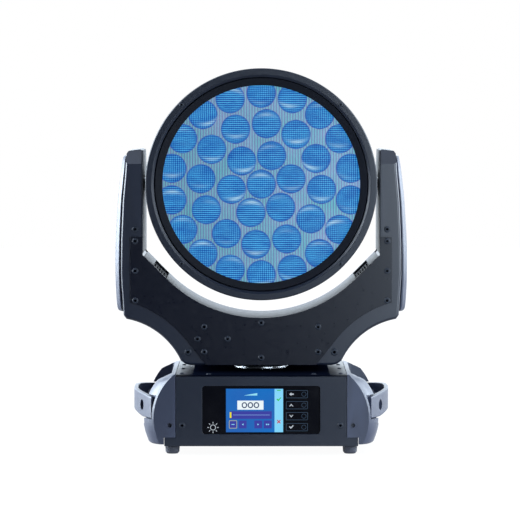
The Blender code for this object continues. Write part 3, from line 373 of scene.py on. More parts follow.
def lens_blue(name):
    """Micro-lens disc: blue with a crossed rib pattern, a violet rim and a pale streak, a painted
    highlight; the disc is drawn as glow, a painted light.

    The mesh carries cell_place (place in the disc, -1..1, and the disc's random number) and
    cell_glow (place and power of its painted highlight streak).
    """
    s = Shader(name)
    place = s.node("Attribute", attribute_name="cell_place")
    cell = s.node("SeparateXYZ")
    s.link(place.outputs["Vector"], cell.inputs[0])
    glow = s.node("Attribute", attribute_name="cell_glow")
    glint = s.node("SeparateXYZ")
    s.link(glow.outputs["Vector"], glint.inputs[0])
    u, v, seed = cell.outputs
    du, dv, power = glint.outputs
    split = s.node("SeparateXYZ")
    s.link(s.coords, split.inputs[0])
    turn = math.tau / (RIB * MM)
    warp = s.math("MULTIPLY", s.noise(130.0, 2.0), 0.0012)
    across = s.math("SINE", s.math("MULTIPLY", s.math("ADD", split.outputs["X"], warp), turn))
    down = s.math("SINE", s.math("MULTIPLY", s.math("ADD", split.outputs["Z"], warp), turn))
    crossed = s.math("ADD", s.math("MULTIPLY", across, s.math("SUBTRACT", 0.55, seed)),
                     s.math("MULTIPLY", down, s.math("ADD", 0.40, seed)))
    uneven = s.spread(s.noise(260.0, 3.0, 0.6, (0.6, 1.0, 1.6)), 0.22, 0.60)
    hatch = s.spread(s.math("MULTIPLY_ADD", crossed, uneven, 0.5), 0.0, 1.0)
    patch = s.spread(s.noise(75.0, 3.0, 0.6, (0.7, 1.0, 1.5)), 0.0, 1.0)
    blue = s.mix(patch, linear(8, 84, 182), linear(26, 136, 220))
    light = s.mix(s.math("MULTIPLY", hatch, 0.72), blue, linear(96, 200, 244))
    shade = s.math("MULTIPLY", s.math("SUBTRACT", 1.0, hatch), 0.75)
    tone = s.mix(shade, light, linear(8, 62, 158))
    deep = s.spread(s.noise(48.0, 2.0, 0.5, (0.8, 1.0, 1.6)), -0.35, 0.75)
    tone = s.mix(s.math("MAXIMUM", deep, 0.0), tone, (0.35, 0.55, 0.80), "MULTIPLY")
    radius = s.math("SQRT", s.math("ADD", s.math("MULTIPLY", u, u), s.math("MULTIPLY", v, v)))
    for start, colour, amount in ((0.78, linear(26, 78, 172), 0.55), (0.95, linear(96, 100, 176), 0.9)):
        rim = s.node("MapRange", interpolation_type="SMOOTHSTEP")
        s.link(radius, rim.inputs["Value"])
        rim.inputs["From Min"].default_value = start
        rim.inputs["From Max"].default_value = 1.0
        tone = s.mix(s.math("MULTIPLY", rim.outputs["Result"], amount), tone, colour)
    # painted highlight: a pale streak bent along the disc's rim, placed and weighted by cell_glow,
    # rippled by the ribs
    bow = s.math("SQRT", s.math("SUBTRACT", 1.0, s.math("MULTIPLY", u, u), clamp=True))
    off_u = s.math("MULTIPLY", s.math("SUBTRACT", u, du), 1.5)
    off_v = s.math("MULTIPLY", s.math("SUBTRACT", v, s.math("MULTIPLY", dv, bow)), 6.5)
    far = s.math("ADD", s.math("MULTIPLY", off_u, off_u), s.math("MULTIPLY", off_v, off_v))
    spot = s.math("MULTIPLY", s.math("EXPONENT", s.math("MULTIPLY", far, -1.6)), power)
    ripple = s.math("MULTIPLY_ADD", down, 0.34, 0.62)
    tone = s.mix(s.math("MULTIPLY", spot, ripple, clamp=True), tone, linear(200, 236, 252))
    # painted light: the disc's colour is drawn as glow over an almost black base colour
    s.put("Base Color", s.mix(0.95, tone, (0.0, 0.0, 0.0)))
    s.put("Emission Color", tone)
    s.put("Emission Strength", 0.95)
    s.put("Specular IOR Level", 0.03)
    s.put("Roughness", 0.35)
    s.put("Normal", s.bump(s.math("ADD", across, down), 0.25, 0.12))
    return s.mat


def clear_cover(name):
    """Thin clear sheet: passes light straight through, with a weak surface reflection."""
    s = Shader(name)
    clear = s.node("BsdfTransparent")
    s.put(clear.inputs["Color"], (0.94, 0.975, 0.98))
    shine = s.node("BsdfGlossy")
    s.put(shine.inputs["Roughness"], s.spread(s.noise(50.0, 4.0), 0.32, 0.42))
    fresnel = s.node("Fresnel")
    fresnel.inputs["IOR"].default_value = 1.38
    blend = s.node("MixShader")
    s.link(s.math("MULTIPLY", fresnel.outputs[0], 0.25, clamp=True), blend.inputs[0])
    s.link(clear.outputs[0], blend.inputs[1])
    s.link(shine.outputs[0], blend.inputs[2])
    s.link(blend.outputs[0], s.out.inputs["Surface"])
    return s.mat


MAT = {
    "painted_sheet": powder_coat("powder_coat_navy", linear(17, 24, 39), 0.22, 0.40, 0.35, 0.42),
    "moulded_cover": moulded("moulded_navy", linear(47, 53, 72), 0.38),
    "dark_plate": powder_coat("powder_coat_dark", linear(6, 10, 25), 0.2, 0.32, 0.3, 0.36),
    "rubber": rubber("foot_rubber", linear(38, 40, 50)),
    "gloss_black": gloss("gloss_black", linear(4, 5, 12)),
    "screen": lit("screen_blue", linear(38, 98, 178), 1.0, linear(20, 112, 194)),
    "socket_plastic": moulded("socket_black", linear(24, 25, 29), 0.4),
    "circuit_board": board("solder_mask", linear(18, 92, 60)),
    "bare_aluminium": metal("bare_aluminium", linear(214, 217, 222), 0.20),
    "bright_steel": metal("ground_steel", linear(190, 193, 198), 0.26),
    "front_glass": clear_cover("ribbed_glass"),
    "lens_acrylic": ribbed_plate("ribbed_plate"),
    "lens": lens_blue("lens_blue"),
    "yoke_shell": moulded("yoke_navy", linear(22, 28, 44), 0.36),
    "liner": powder_coat("powder_coat_liner", linear(18, 24, 38), 0.2, 0.5, 0.35, 0.4),
    "clamp": powder_coat("powder_coat_clamp", linear(14, 17, 26), 0.2, 0.62, 0.35, 0.12),
    "screw": screw_black("screw_black", linear(30, 36, 48)),
    # painted shade: the top cover's coat is darker than the same coat on the panels, for the shade under
    # the yoke, and its reflection is painted at the two ends only
    "top_sheet_painted_shade": powder_coat("powder_coat_top_painted_shade", linear(6, 9, 20), 0.22, 0.4, 0.2, painted_end_reflection),
    "vent": powder_coat("vent_dark", linear(10, 13, 22), 0.15, 0.7, 0.35, 0.06),
    # painted light: key rims and rings are print drawn as glow
    "line": lit("key_line_painted_glow", linear(70, 92, 116), 0.8, grid=False),
    "white": lit("screen_white", linear(236, 246, 250)),
    "pale": lit("screen_pale", linear(140, 215, 245), 1.0, linear(124, 208, 246)),
    "title": lit("screen_title", linear(150, 225, 245)),
    "band": lit("screen_band", linear(60, 65, 160)),
    "thin": lit("screen_line", linear(120, 150, 215)),
    "beige": lit("screen_beige", linear(180, 185, 150)),
    "yellow": lit("screen_yellow", linear(238, 226, 40)),
    "green": lit("screen_green", linear(60, 196, 70)),
    "red": lit("screen_red", linear(200, 44, 48)),
    "ink": lit("screen_ink", linear(40, 60, 100)),
    # painted light: key and fascia icons are print drawn as glow
    "icon": lit("icon_white_painted_glow", linear(205, 214, 224), 0.85, grid=False),
}
for part in frame["record"]["subparts"]:
    node = frame["nodes"][part["node"]]
    node.data.materials.clear()
    node.data.materials.append(MAT[part["material_slot"]])


# ------------------------------------------------------------------ mesh helpers
TURN = {
    "X": Matrix(((0, 0, 1, 0), (1, 0, 0, 0), (0, 1, 0, 0), (0, 0, 0, 1))),
    "Y": Matrix(((1, 0, 0, 0), (0, 0, -1, 0), (0, 1, 0, 0), (0, 0, 0, 1))),
    "Z": Matrix.Identity(4),
}


def mesh_of(name, bm):
    bmesh.ops.recalc_face_normals(bm, faces=bm.faces)
    mesh = bpy.data.meshes.new(name)
    bm.to_mesh(mesh)
    bm.free()
    return mesh


def raw(name, mesh):
    obj = bpy.data.objects.new(name, mesh)
    SCENE.collection.objects.link(obj)
    return obj


def piece(obj, body, material, replaces=(), angle=32.0):
    """Finish an object: material, shading, the body it rides on and what it stands for."""
    obj.data.materials.clear()
    obj.data.materials.append(MAT[material])
    if obj.type == "MESH":
        obj.data.shade_smooth()
        obj.data.set_sharp_from_angle(angle=math.radians(angle))
        flatten = obj.modifiers.new("flat_faces", "WEIGHTED_NORMAL")
        flatten.keep_sharp = True
    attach(obj, body)
    if replaces:
        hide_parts(*replaces)
    return obj


def bake(obj):
    """Apply an object's modifiers and place to its mesh."""
    bpy.context.view_layer.update()
    evaluated = obj.evaluated_get(bpy.context.evaluated_depsgraph_get())
    mesh = bpy.data.meshes.new_from_object(evaluated)
    mesh.transform(obj.matrix_world)
    obj.modifiers.clear()
    obj.matrix_world = Matrix.Identity(4)
    obj.data = mesh
    return obj


def cut(obj, *cutters, operation="DIFFERENCE"):
    """Exact Boolean with each cutter in turn; the cutters are removed."""
    for cutter in cutters:
        modifier = obj.modifiers.new("cut", "BOOLEAN")
        modifier.operation = operation
        modifier.solver = "EXACT"
        modifier.object = cutter
    bake(obj)
    for cutter in cutters:
        bpy.data.objects.remove(cutter)
    return obj


def bevel(obj, width, segments=3, angle=38.0):
    modifier = obj.modifiers.new("edges", "BEVEL")
    modifier.width = width * MM
    modifier.segments = segments
    modifier.limit_method = "ANGLE"
    modifier.angle_limit = math.radians(angle)
    return bake(obj)


def box(name, low, high, width=0.0, segments=3):
    low, high = Vector(low) * MM, Vector(high) * MM
    bm = bmesh.new()
    size = Matrix.Diagonal((*(high - low), 1.0))
    bmesh.ops.create_cube(bm, size=1.0, matrix=Matrix.Translation((low + high) / 2) @ size)
    obj = raw(name, mesh_of(name, bm))
    return bevel(obj, width, segments) if width else obj


def rod(name, radius, start, length, axis="Z", sides=48):
    bm = bmesh.new()
    place = Matrix.Translation(Vector(start) * MM) @ TURN[axis]
    bmesh.ops.create_cone(bm, cap_ends=True, segments=sides, radius1=radius * MM,
                          radius2=radius * MM, depth=length * MM,
                          matrix=place @ Matrix.Translation((0, 0, length * MM / 2)))
    return raw(name, mesh_of(name, bm))


def arc(centre, radius, start, end, steps):
    points = []
    for i in range(steps + 1):
        a = math.radians(start + (end - start) * i / steps)
        points.append((centre[0] + radius * math.cos(a), centre[1] + radius * math.sin(a)))
    return points


def circle(x, y, radius, steps=48):
    return arc((x, y), radius, 0, 360 * (steps - 1) / steps, steps - 1)


def rectangle(x0, x1, y0, y1, radius=0.0, steps=6):
    if radius == 0.0:
        return [(x0, y0), (x1, y0), (x1, y1), (x0, y1)]
    points = []
    for cx, cy, a in ((x1, y1, 0), (x0, y1, 90), (x0, y0, 180), (x1, y0, 270)):
        middle = (cx - radius if cx == x1 else cx + radius, cy - radius if cy == y1 else cy + radius)
        points += arc(middle, radius, a, a + 90, steps)
    return points


def soften(points, radius, steps=4, closed=True):
    """Round the corners of a polyline; short sides limit the radius."""
    rounded = []
    last = len(points) - 1
    for i, corner in enumerate(points):
        if not closed and i in (0, last):
            rounded.append(tuple(corner))
            continue
        here, before, after = Vector(corner), Vector(points[i - 1]), Vector(points[(i + 1) % (last + 1)])
        to_before, to_after = before - here, after - here
        bend = math.pi - to_before.angle(to_after, math.pi)
        if bend < math.radians(9):
            rounded.append(tuple(corner))
            continue
        reach = min(radius * math.tan(bend / 2), to_before.length * 0.45, to_after.length * 0.45)
        start = here + to_before.normalized() * reach
        end = here + to_after.normalized() * reach
        for k in range(steps + 1):
            t = k / steps
            rounded.append(tuple(start * (1 - t) ** 2 + here * 2 * t * (1 - t) + end * t * t))
    return rounded


def mirrored(right):
    return right + [(-x, z) for x, z in reversed(right)]


def inset(points, distance):
    """Move the edges of a counter-clockwise outline inwards, by one distance or one for each."""
    moved = []
    steps = distance if isinstance(distance, list) else [distance] * len(points)
    for i, here in enumerate(points):
        before, here = Vector(points[i - 1]), Vector(here)
        after = Vector(points[(i + 1) % len(points)])
        first, second = (here - before).normalized(), (after - here).normalized()
        normal_a, normal_b = Vector((-first.y, first.x)), Vector((-second.y, second.x))
        miter = (normal_a + normal_b).normalized()
        moved.append(tuple(here + miter * (steps[i] / miter.dot(normal_a))))
    return moved


def turned(name, profile, centre, axis="Z", steps=128, closed=True):
    """Turn a (radius, height) profile; height runs along +X, -Y or +Z."""
    bm = bmesh.new()
    place = Matrix.Translation(Vector(centre) * MM) @ TURN[axis]
    rings = []
    for r, h in profile:
        if r < 1e-6:
            rings.append([bm.verts.new(place @ Vector((0, 0, h * MM)))] * steps)
            continue
        angles = [math.tau * k / steps for k in range(steps)]
        rings.append([bm.verts.new(place @ (Vector((r * math.cos(a), r * math.sin(a), h)) * MM))
                      for a in angles])
    spans = len(rings) if closed else len(rings) - 1
    for i in range(spans):
        low, high = rings[i], rings[(i + 1) % len(rings)]
        for k in range(steps):
            m = (k + 1) % steps
            corners = []
            for vert in (low[k], low[m], high[m], high[k]):
                if vert not in corners:
                    corners.append(vert)
            if len(corners) > 2:
                bm.faces.new(corners)
    return raw(name, mesh_of(name, bm))


def plate(name, loops, low, high, axis="Y", edge=0.0, resolution=2):
    """A flat outline with holes between two planes, with an optional rounded edge."""
    curve = bpy.data.curves.new(name, "CURVE")
    curve.dimensions = "2D"
    curve.fill_mode = "BOTH"
    curve.extrude = ((high - low) / 2 - edge) * MM
    curve.bevel_depth = edge * MM
    curve.bevel_resolution = resolution
    curve.offset = -edge * MM
    for loop in loops:
        spline = curve.splines.new("POLY")
        spline.points.add(len(loop) - 1)
        for point, (u, v) in zip(spline.points, loop):
            point.co = (u * MM, v * MM, 0.0, 1.0)
        spline.use_cyclic_u = True
    middle = (high + low) / 2
    offset = {"X": (middle, 0, 0), "Y": (0, middle, 0), "Z": (0, 0, middle)}[axis]
    drawn = bpy.data.objects.new(name + "_curve", curve)
    SCENE.collection.objects.link(drawn)
    drawn.matrix_world = Matrix.Translation(Vector(offset) * MM) @ TURN[axis]
    bpy.context.view_layer.update()
    mesh = bpy.data.meshes.new_from_object(drawn.evaluated_get(bpy.context.evaluated_depsgraph_get()))
    mesh.transform(drawn.matrix_world)
    bpy.data.objects.remove(drawn)
    bm = bmesh.new()
    bm.from_mesh(mesh)
    bmesh.ops.remove_doubles(bm, verts=bm.verts, dist=0.000002)
    return raw(name, mesh_of(name, bm))


def loft(name, sections):
    """A skin over sections of equal length, in millimetres."""
    bm = bmesh.new()
    rings = [[bm.verts.new(Vector(p) * MM) for p in section] for section in sections]
    count = len(rings[0])
    for low, high in zip(rings, rings[1:]):
        for i in range(count):
            j = (i + 1) % count
            bm.faces.new((low[i], low[j], high[j], high[i]))
    bm.faces.new(rings[0])
    bm.faces.new(rings[-1])
    return raw(name, mesh_of(name, bm))


def smooth_table(table, t):
    """Smooth interpolation of a table of tuples, by a Catmull-Rom curve; t runs over rows."""
    i = min(int(t), len(table) - 2)
    f = t - i
    rows = [table[max(0, min(len(table) - 1, i + k))] for k in (-1, 0, 1, 2)]
    out = []
    for a, b, c, d in zip(*rows):
        out.append(0.5 * (2 * b + (c - a) * f + (2 * a - 5 * b + 4 * c - d) * f * f
                          + (3 * b - a - 3 * c + d) * f ** 3))
    return out


# ------------------------------------------------------------------ screws
def screw_mesh(head_r, head_h, hex_r):
    """Low pan head with a deep hexagon socket, its axis along +Z, its seat at 0."""
    profile = soften([(0, head_h), (head_r * 0.72, head_h * 0.97), (head_r, head_h * 0.4),
                      (head_r, 0), (head_r * 0.5, 0), (head_r * 0.5, -0.4), (0, -0.4)],
                     head_h * 0.5, 3, closed=False)
    head = turned("screw_master", profile, (0, 0, 0), "Z", 32, closed=False)
    cut(head, rod("socket", hex_r, (0, 0, 0.12), head_h, "Z", 6))
    mesh = head.data
    bore = mesh.attributes.new("bore", "FLOAT", "FACE")
    for face in mesh.polygons:
        centre = face.center / MM
        inside = math.hypot(centre.x, centre.y) < hex_r and 0 < centre.z < head_h * 0.93
        bore.data[face.index].value = 1.0 if inside else 0.0
    bpy.data.objects.remove(head)
    return mesh


SCREWS = {
    "m4": screw_mesh(4.2, 1.5, 1.95),
    "m3": screw_mesh(2.9, 1.2, 1.3),
    "m5": screw_mesh(4.9, 1.7, 2.2),
}


def screw(name, kind, place, direction, body):
    """A screw head whose seat lies at a place and whose top faces a direction."""
    mesh = SCREWS[kind].copy()
    turn = Vector(direction).to_track_quat("Z", "Y").to_matrix().to_4x4()
    mesh.transform(Matrix.Translation(Vector(place) * MM) @ turn)
    return piece(raw(name, mesh), body, "screw")


# ------------------------------------------------------------------ base
def base_panels():
    top = PANEL_HIGH.z
    low = PANEL_LOW.z
    outline = mirrored([(FLANGE_HALF_W, low), (FLANGE_HALF_W, FLANGE_TOP), (BASE_HALF_W, FLANGE_TOP),
                        (BASE_HALF_W, top)])
    outline = soften(outline, 1.2, 4)
    window = rectangle(-WINDOW_X, WINDOW_X, *WINDOW_Z, WINDOW_R, 8)
    front = plate("front_panel_sheet", [outline, window], PANEL_LOW.y, PANEL_HIGH.y, "Y", 0.45, 3)
    piece(front, "base", "painted_sheet", ["front_panel"])
    sockets = ("power_inlet", "power_outlet", "data_socket_in", "data_socket_out")
    holes = []
    for name in sockets:
        lo, hi = edges(name)
        holes.append(circle((lo.x + hi.x) / 2, (lo.z + hi.z) / 2, 12.1, 64))
    rear = plate("rear_panel_sheet", [outline] + holes, REAR_LOW.y, REAR_HIGH.y, "Y", 0.4, 3)
    piece(rear, "base", "painted_sheet", ["rear_panel"])
    hole = circle(0, 0, 28.0, 96)
    outline = rectangle(TOP_LOW.x, TOP_HIGH.x, TOP_LOW.y, TOP_HIGH.y, 1.5, 4)
    cover = plate("top_cover_sheet", [outline, hole], TOP_LOW.z, TOP_HIGH.z, "Z", 0.7, 3)
    # the top cover takes the coat with painted shade
    piece(cover, "base", "top_sheet_painted_shade", ["top_cover"])
    for i, (x, z) in enumerate(((-104.0, 38.3), (104.0, 38.3))):
        screw("front_panel_screw_%d" % i, "m4", (x, PANEL_LOW.y, z), (0, -1, 0), "base")
    for i, (x, z) in enumerate(((-104.0, 38.3), (104.0, 38.3), (-104.0, 92.0), (104.0, 92.0),
                                (0.0, 92.0), (0.0, 20.0))):
        screw("rear_panel_screw_%d" % i, "m4", (x, REAR_HIGH.y - 2.35, z), (0, 1, 0), "base")
    i = 0
    for x in (-105.0, 105.0):
        for y in (-24.0, 41.0, 104.0, -104.0):
            screw("top_screw_%d" % i, "m3", (x, y, TOP_HIGH.z), (0, 0, 1), "base")
            i += 1
    for x in (-69.0, 69.0):
        for y in (-115.0, 115.0):
            screw("top_screw_%d" % i, "m3", (x, y, TOP_HIGH.z), (0, 0, 1), "base")
            i += 1


def cover_section(y, sign):
    """Right or left side cover at one depth: front outline, swollen towards the middle."""
    x0 = COVER_LOW.x
    lip, step = FLANGE_HALF_W + GAP, FLANGE_TOP + GAP
    outline = [(x0, BASE_TOP), (x0 + 2.6, BASE_TOP - 0.6), (x0 + 4.4, 103.1)]
    outline += arc((66.5, 47.5), 75.0, 46, -22.5, 26)
    outline += [(134.6, 15.6), (133.4, 14.0), (131.8, 13.1), (lip, 13.1), (lip, step), (x0, step)]
    swell = 15.5 * (1 - abs(y / BASE_HALF_D) ** 9)
    section = []
    for x, z in outline:
        weight = min(1.0, max(0.0, (x - x0) / 10.0))
        section.append((sign * (x + swell * weight), y, z))
    return section


def side_covers():
    """Moulded covers with an open well for the hand behind each handle."""
    half = BASE_HALF_D
    steps = 40
    for side, sign in (("left", -1), ("right", 1)):
        stations = [half * math.sin(math.pi * (k / steps - 0.5)) for k in range(steps + 1)]
        cover = loft("side_cover_shell_" + side, [cover_section(y, sign) for y in stations])
        cover = bevel(cover, 0.9, 3, 50)
        notches = [plate("notch", [[(sign * x, turn * y) for x, y in NOTCH_PLAN]], *NOTCH_Z, "Z")
                   for turn in (1, -1)]
        near, far = sorted((sign * WELL_X, sign * 220.0))
        well = box("well", (near, -WELL_HALF_D, WELL_Z), (far, WELL_HALF_D, 160.0), 5.0, 5)
        groove = box("groove", *[(sign * x, y, z) for x, y, z in
                                 ((WELL_X - 3.5, -60, WELL_Z + 8), (WELL_X + 3, 60, WELL_Z + 50))],
                     2.0, 3)
        screw_hole_a = rod("hole_a", 2.9, (sign * 120.5, -half + 6, 38.3), 10, "Y", 32)
        screw_hole_b = rod("hole_b", 2.9, (sign * 120.5, half + 4, 38.3), 10, "Y", 32)
        cut(cover, well, groove, screw_hole_a, screw_hole_b, *notches)
        cover = bevel(cover, 0.7, 2, 60)
        piece(cover, "base", "moulded_cover", ["side_cover_" + side])


def handle_path():
    """Centre line of the right handle in plan."""
    steps = 10
    front = [(142.6, -111.0), (149.0, -98.0), (155.5, -80.0), (160.5, -66.0), (164.6, -50.0),
             (167.2, -32.0), (168.0, 0.0)]
    path = front + [(x, -y) for x, y in reversed(front[:-1])]
    fine = []
    for i in range(len(path) - 1):
        for k in range(steps):
            fine.append(Vector(smooth_table(path, i + k / steps)))
    fine.append(Vector(path[-1]))
    return fine


def handles():
    """Strap handles, arched up in the middle, with rounded edges and a hole near each end."""
    path = handle_path()
    for side, sign in (("left", -1), ("right", 1)):
        sections = []
        for i, here in enumerate(path):
            ahead = path[min(i + 1, len(path) - 1)] - path[max(i - 1, 0)]
            out = Vector((ahead.y, -ahead.x)).normalized()
            low = 46.6 + 7.4 * max(0.0, 1 - (here.y / 80.0) ** 2)
            high = 75.1 + 6.7 * (1 - (here.y / 111.0) ** 2)
            section = soften([(-2.8, low), (2.8, low), (2.8, high), (-2.8, high)], 1.7, 5)
            sections.append([(sign * (here.x + out.x * offset), here.y + out.y * offset, z)
                             for offset, z in section])
        strap = loft("handle_strap_" + side, sections)
        holes = []
        for turn in (-1, 1):
            hole = rod("hole", 7.0, (0, 0, -12), 24, "Z", 48)
            out = Vector((sign * 0.94, 0.34 * turn, 0.0)).to_track_quat("Z", "Y")
            place = Matrix.Translation(Vector((sign * 155.5, turn * 80.0, 62.2)) * MM)
            hole.matrix_world = place @ out.to_matrix().to_4x4()
            holes.append(hole)
        cut(strap, *holes)
        strap = bevel(strap, 0.6, 2, 60)
        piece(strap, "base", "moulded_cover", ["handle_" + side])


def feet():
    for end in ("front", "rear"):
        for side in ("left", "right"):
            node = "foot_%s_%s" % (end, side)
            lo, hi = edges(node)
            r, top = (hi.x - lo.x) / 2, hi.z
            profile = [(0, top), (r, top), (r - 0.5, 2.6), (r - 2.6, 0.0), (4.6, 0.0), (4.0, 3.0),
                       (0, 3.0)]
            place = ((lo.x + hi.x) / 2, (lo.y + hi.y) / 2, 0)
            foot = turned(node + "_pad", soften(profile, 1.4, 4, False), place, "Z", 64, False)
            piece(foot, "base", "rubber", [node])


def display():
    """Fascia, lit screen with a plain menu, and four keys with icons."""
    face = FASCIA_LOW.y
    x0, x1, z0, z1 = LCD_LOW.x, LCD_HIGH.x, LCD_LOW.z, LCD_HIGH.z
    loops = [rectangle(FASCIA_LOW.x, FASCIA_HIGH.x, FASCIA_LOW.z, FASCIA_HIGH.z, 2.0),
             rectangle(x0 - GAP, x1 + GAP, z0 - GAP, z1 + GAP, 0.4, 2)]
    for key in KEYS:
        lo, hi = edges(key)
        loops.append(rectangle(lo.x - GAP, hi.x + GAP, lo.z - GAP, hi.z + GAP, 2.2))
    fascia = plate("display_fascia_panel", loops, face, FASCIA_HIGH.y, "Y", 0.12, 1)
    piece(fascia, "base", "gloss_black", ["display_fascia"])
    front = LCD_LOW.y - 0.06

    def flat(name, loop, material, lift=0.0, holes=()):
        tile = plate(name, [loop, *holes], front - lift - 0.05, front - lift, "Y")
        return piece(tile, "base", material)

    def oval(x, z, half_w, half_h):
        return [(x + half_w * a, z + half_h * b) for a, b in circle(0, 0, 1.0, 40)]

    strip = x1 - 11.3
    middle, arm = strip + 5.65, 0.62
    flat("screen_strip", rectangle(strip, x1, z0, z1), "pale")
    flat("strip_dash", rectangle(strip + 3.2, strip + 8.2, z1 - 2.4, z1 - 1.2, 0.4, 2), "green", 0.08)
    tick = [(-3.0, 0.3), (-1.9, 1.5), (-0.6, 0.1), (2.4, 3.2), (3.2, 2.4), (-0.6, -2.2)]
    flat("strip_tick", [(middle + x, z0 + 42.9 + z) for x, z in tick], "green", 0.08)
    cross = []
    for k in range(4):
        a = math.radians(45 + 90 * k)
        along, side = Vector((math.cos(a), math.sin(a))), Vector((-math.sin(a), math.cos(a)))
        cross += [along * 3.0 - side * arm, along * 3.0 + side * arm, (along + side) * arm]
    flat("strip_cross", [(middle + p.x, z0 + 13.9 + p.y) for p in cross], "red", 0.08)
    centre = x0 + 32.1
    flat("title_ramp", [(centre - 9.0, z0 + 48.4), (centre + 9.0, z0 + 48.4), (centre + 9.0, z0 + 51.6)],
         "title", 0.04)
    flat("value_box", rectangle(centre - 17.2, centre + 17.2, z0 + 29.7, z0 + 41.6), "white", 0.04)
    for k in (-1, 0, 1):
        digit = (centre + k * 7.9, z0 + 35.65)
        flat("value_digit_%d" % (k + 1), oval(*digit, 3.65, 3.95), "ink", 0.12,
             [oval(*digit, 2.2, 2.5)])
    flat("slider_band", rectangle(x0 + 4.7, x0 + 60.1, z0 + 17.6, z0 + 27.6), "band", 0.04)
    flat("slider_line", rectangle(x0 + 9.1, x0 + 57.7, z0 + 22.3, z0 + 23.1), "thin", 0.10)
    flat("slider_knob", rectangle(x0 + 4.9, x0 + 7.1, z0 + 18.8, z0 + 26.4), "yellow", 0.12)
    for i, place in enumerate((9.2, 21.9, 42.4, 54.9)):
        x, z, half = x0 + place, z0 + 10.2, 4.6 if i == 0 else 5.15
        flat("menu_key_%d" % i, rectangle(x - half, x + half, z - half, z + half), "band", 0.04)
        if i == 0:
            flat("menu_frame", rectangle(x - 5.3, x + 5.3, z - 5.3, z + 5.3, 1.0), "beige", 0.10,
                 [rectangle(x - 4.6, x + 4.6, z - 4.6, z + 4.6, 0.6)])
            flat("menu_mark_0", rectangle(x - 2.0, x + 2.0, z - 0.5, z + 0.5), "pale", 0.10)
            continue
        tip = 1.1 if i > 1 else -1.1
        for k, shift in enumerate((-1.2, 1.2) if i == 3 else (0.0,)):
            mark = [(x + shift - tip, z - 1.3), (x + shift + tip, z), (x + shift - tip, z + 1.3)]
            flat("menu_mark_%d_%d" % (i, k), mark, "pale", 0.10)
    icons = {
        "key_escape": [[(-2.4, 0.0), (0.2, 2.0), (0.2, 0.7), (2.8, 0.7), (2.8, -0.7), (0.2, -0.7),
                        (0.2, -2.0)]],
        "key_next": [[(-2.3, -1.4), (0.0, 1.6), (2.3, -1.4), (1.3, -1.4), (0.0, 0.2), (-1.3, -1.4)]],
        "key_previous": [[(-2.3, 1.4), (-1.3, 1.4), (0.0, -0.2), (1.3, 1.4), (2.3, 1.4), (0.0, -1.6)]],
        "key_enter": [[(-2.6, 0.2), (-1.7, 1.1), (-0.5, 0.0), (2.0, 2.4), (2.8, 1.6), (-0.5, -1.9)]],
    }
    for key in KEYS:
        lo, hi = edges(key)
        cap = plate(key + "_cap", [rectangle(lo.x, hi.x, lo.z, hi.z, 2.0, 6)], lo.y, hi.y, "Y", 0.3, 2)
        body = key.split("_")[1] + "_key"
        piece(cap, body, "gloss_black", [key])
        # the key rims, rings and icons below are print drawn as glow, a painted light
        outer = rectangle(lo.x + 0.5, hi.x - 0.5, lo.z + 0.5, hi.z - 0.5, 1.7, 6)
        inner = rectangle(lo.x + 0.95, hi.x - 0.95, lo.z + 0.95, hi.z - 0.95, 1.4, 6)
        rim = plate(key + "_rim", [outer, inner], lo.y - 0.06, lo.y, "Y")
        piece(rim, body, "line")
        mid_z = (lo.z + hi.z) / 2
        ring_x = hi.x - 5.6
        ring = plate(key + "_ring", [circle(ring_x, mid_z, 3.1, 40), circle(ring_x, mid_z, 2.7, 40)],
                     lo.y - 0.06, lo.y, "Y")
        piece(ring, body, "line")
        for k, shape in enumerate(icons[key]):
            mark = [(lo.x + 7.2 + x * 1.15, mid_z + z * 1.15) for x, z in shape]
            icon = plate("%s_icon_%d" % (key, k), [mark], lo.y - 0.06, lo.y, "Y")
            piece(icon, body, "icon")
    lamp = []
    cx, cz = -63.4, 35.3
    for k in range(8):
        a = math.tau * k / 8
        spoke = [(5.2, -0.4), (7.4, -0.4), (7.4, 0.4), (5.2, 0.4)]
        lamp.append([(cx + x * math.cos(a) - z * math.sin(a), cz + x * math.sin(a) + z * math.cos(a))
                     for x, z in spoke])
    lamp.append(circle(cx, cz, 3.8, 40))
    lamp.append(circle(cx, cz, 3.0, 40))
    # the lamp icon is print drawn as glow, a painted light
    for k, loop in enumerate(lamp[:8]):
        ray = plate("lamp_ray_%d" % k, [loop], face - 0.05, face, "Y")
        piece(ray, "base", "icon")
    ring = plate("lamp_ring", lamp[8:], face - 0.05, face, "Y")
    piece(ring, "base", "icon")


def sockets():
    """Round chassis sockets with pins, flush with the rear panel."""
    for name, pins in (("power_inlet", 3), ("power_outlet", 3), ("data_socket_in", 5),
                       ("data_socket_out", 5)):
        lo, hi = edges(name)
        x, z, y = (lo.x + hi.x) / 2, (lo.z + hi.z) / 2, hi.y
        profile = [(0, 22), (11.8, 22), (11.8, 5.6), (14.4, 5.6), (14.4, 2.6), (11.8, 2.6), (11.8, 0),
                   (8.6, 0), (8.6, 12), (0, 12)]
        barrel = turned(name + "_barrel", soften(profile, 0.6, 3, False), (x, y, z), "Y", 64, False)
        piece(barrel, "base", "socket_plastic", [name])
        for k in range(pins):
            a = math.tau * k / pins + math.pi / 2
            spot = (x + 4.6 * math.cos(a), y - 11.7, z + 4.6 * math.sin(a))
            tip = turned("%s_pin_%d" % (name, k), [(0, 0), (1.1, 0), (1.1, -8), (0.5, -9), (0, -9)],
                         spot, "Y", 16, False)
            piece(tip, "base", "bright_steel")


# ------------------------------------------------------------------ pan hub and yoke
def pan_hub():
    r, low, high = (HUB_HIGH.x - HUB_LOW.x) / 2, HUB_LOW.z, HUB_HIGH.z
    profile = [(26, high), (26, 113), (30, 113), (r, 108.6), (r, 105.6), (26, 105.6), (26, low),
               (19, low), (19, high)]
    hub = turned("pan_hub_turned", soften(profile, 0.7, 3), (0, 0, 0), "Z", 128)
    piece(hub, "base", "bare_aluminium", ["pan_hub"])


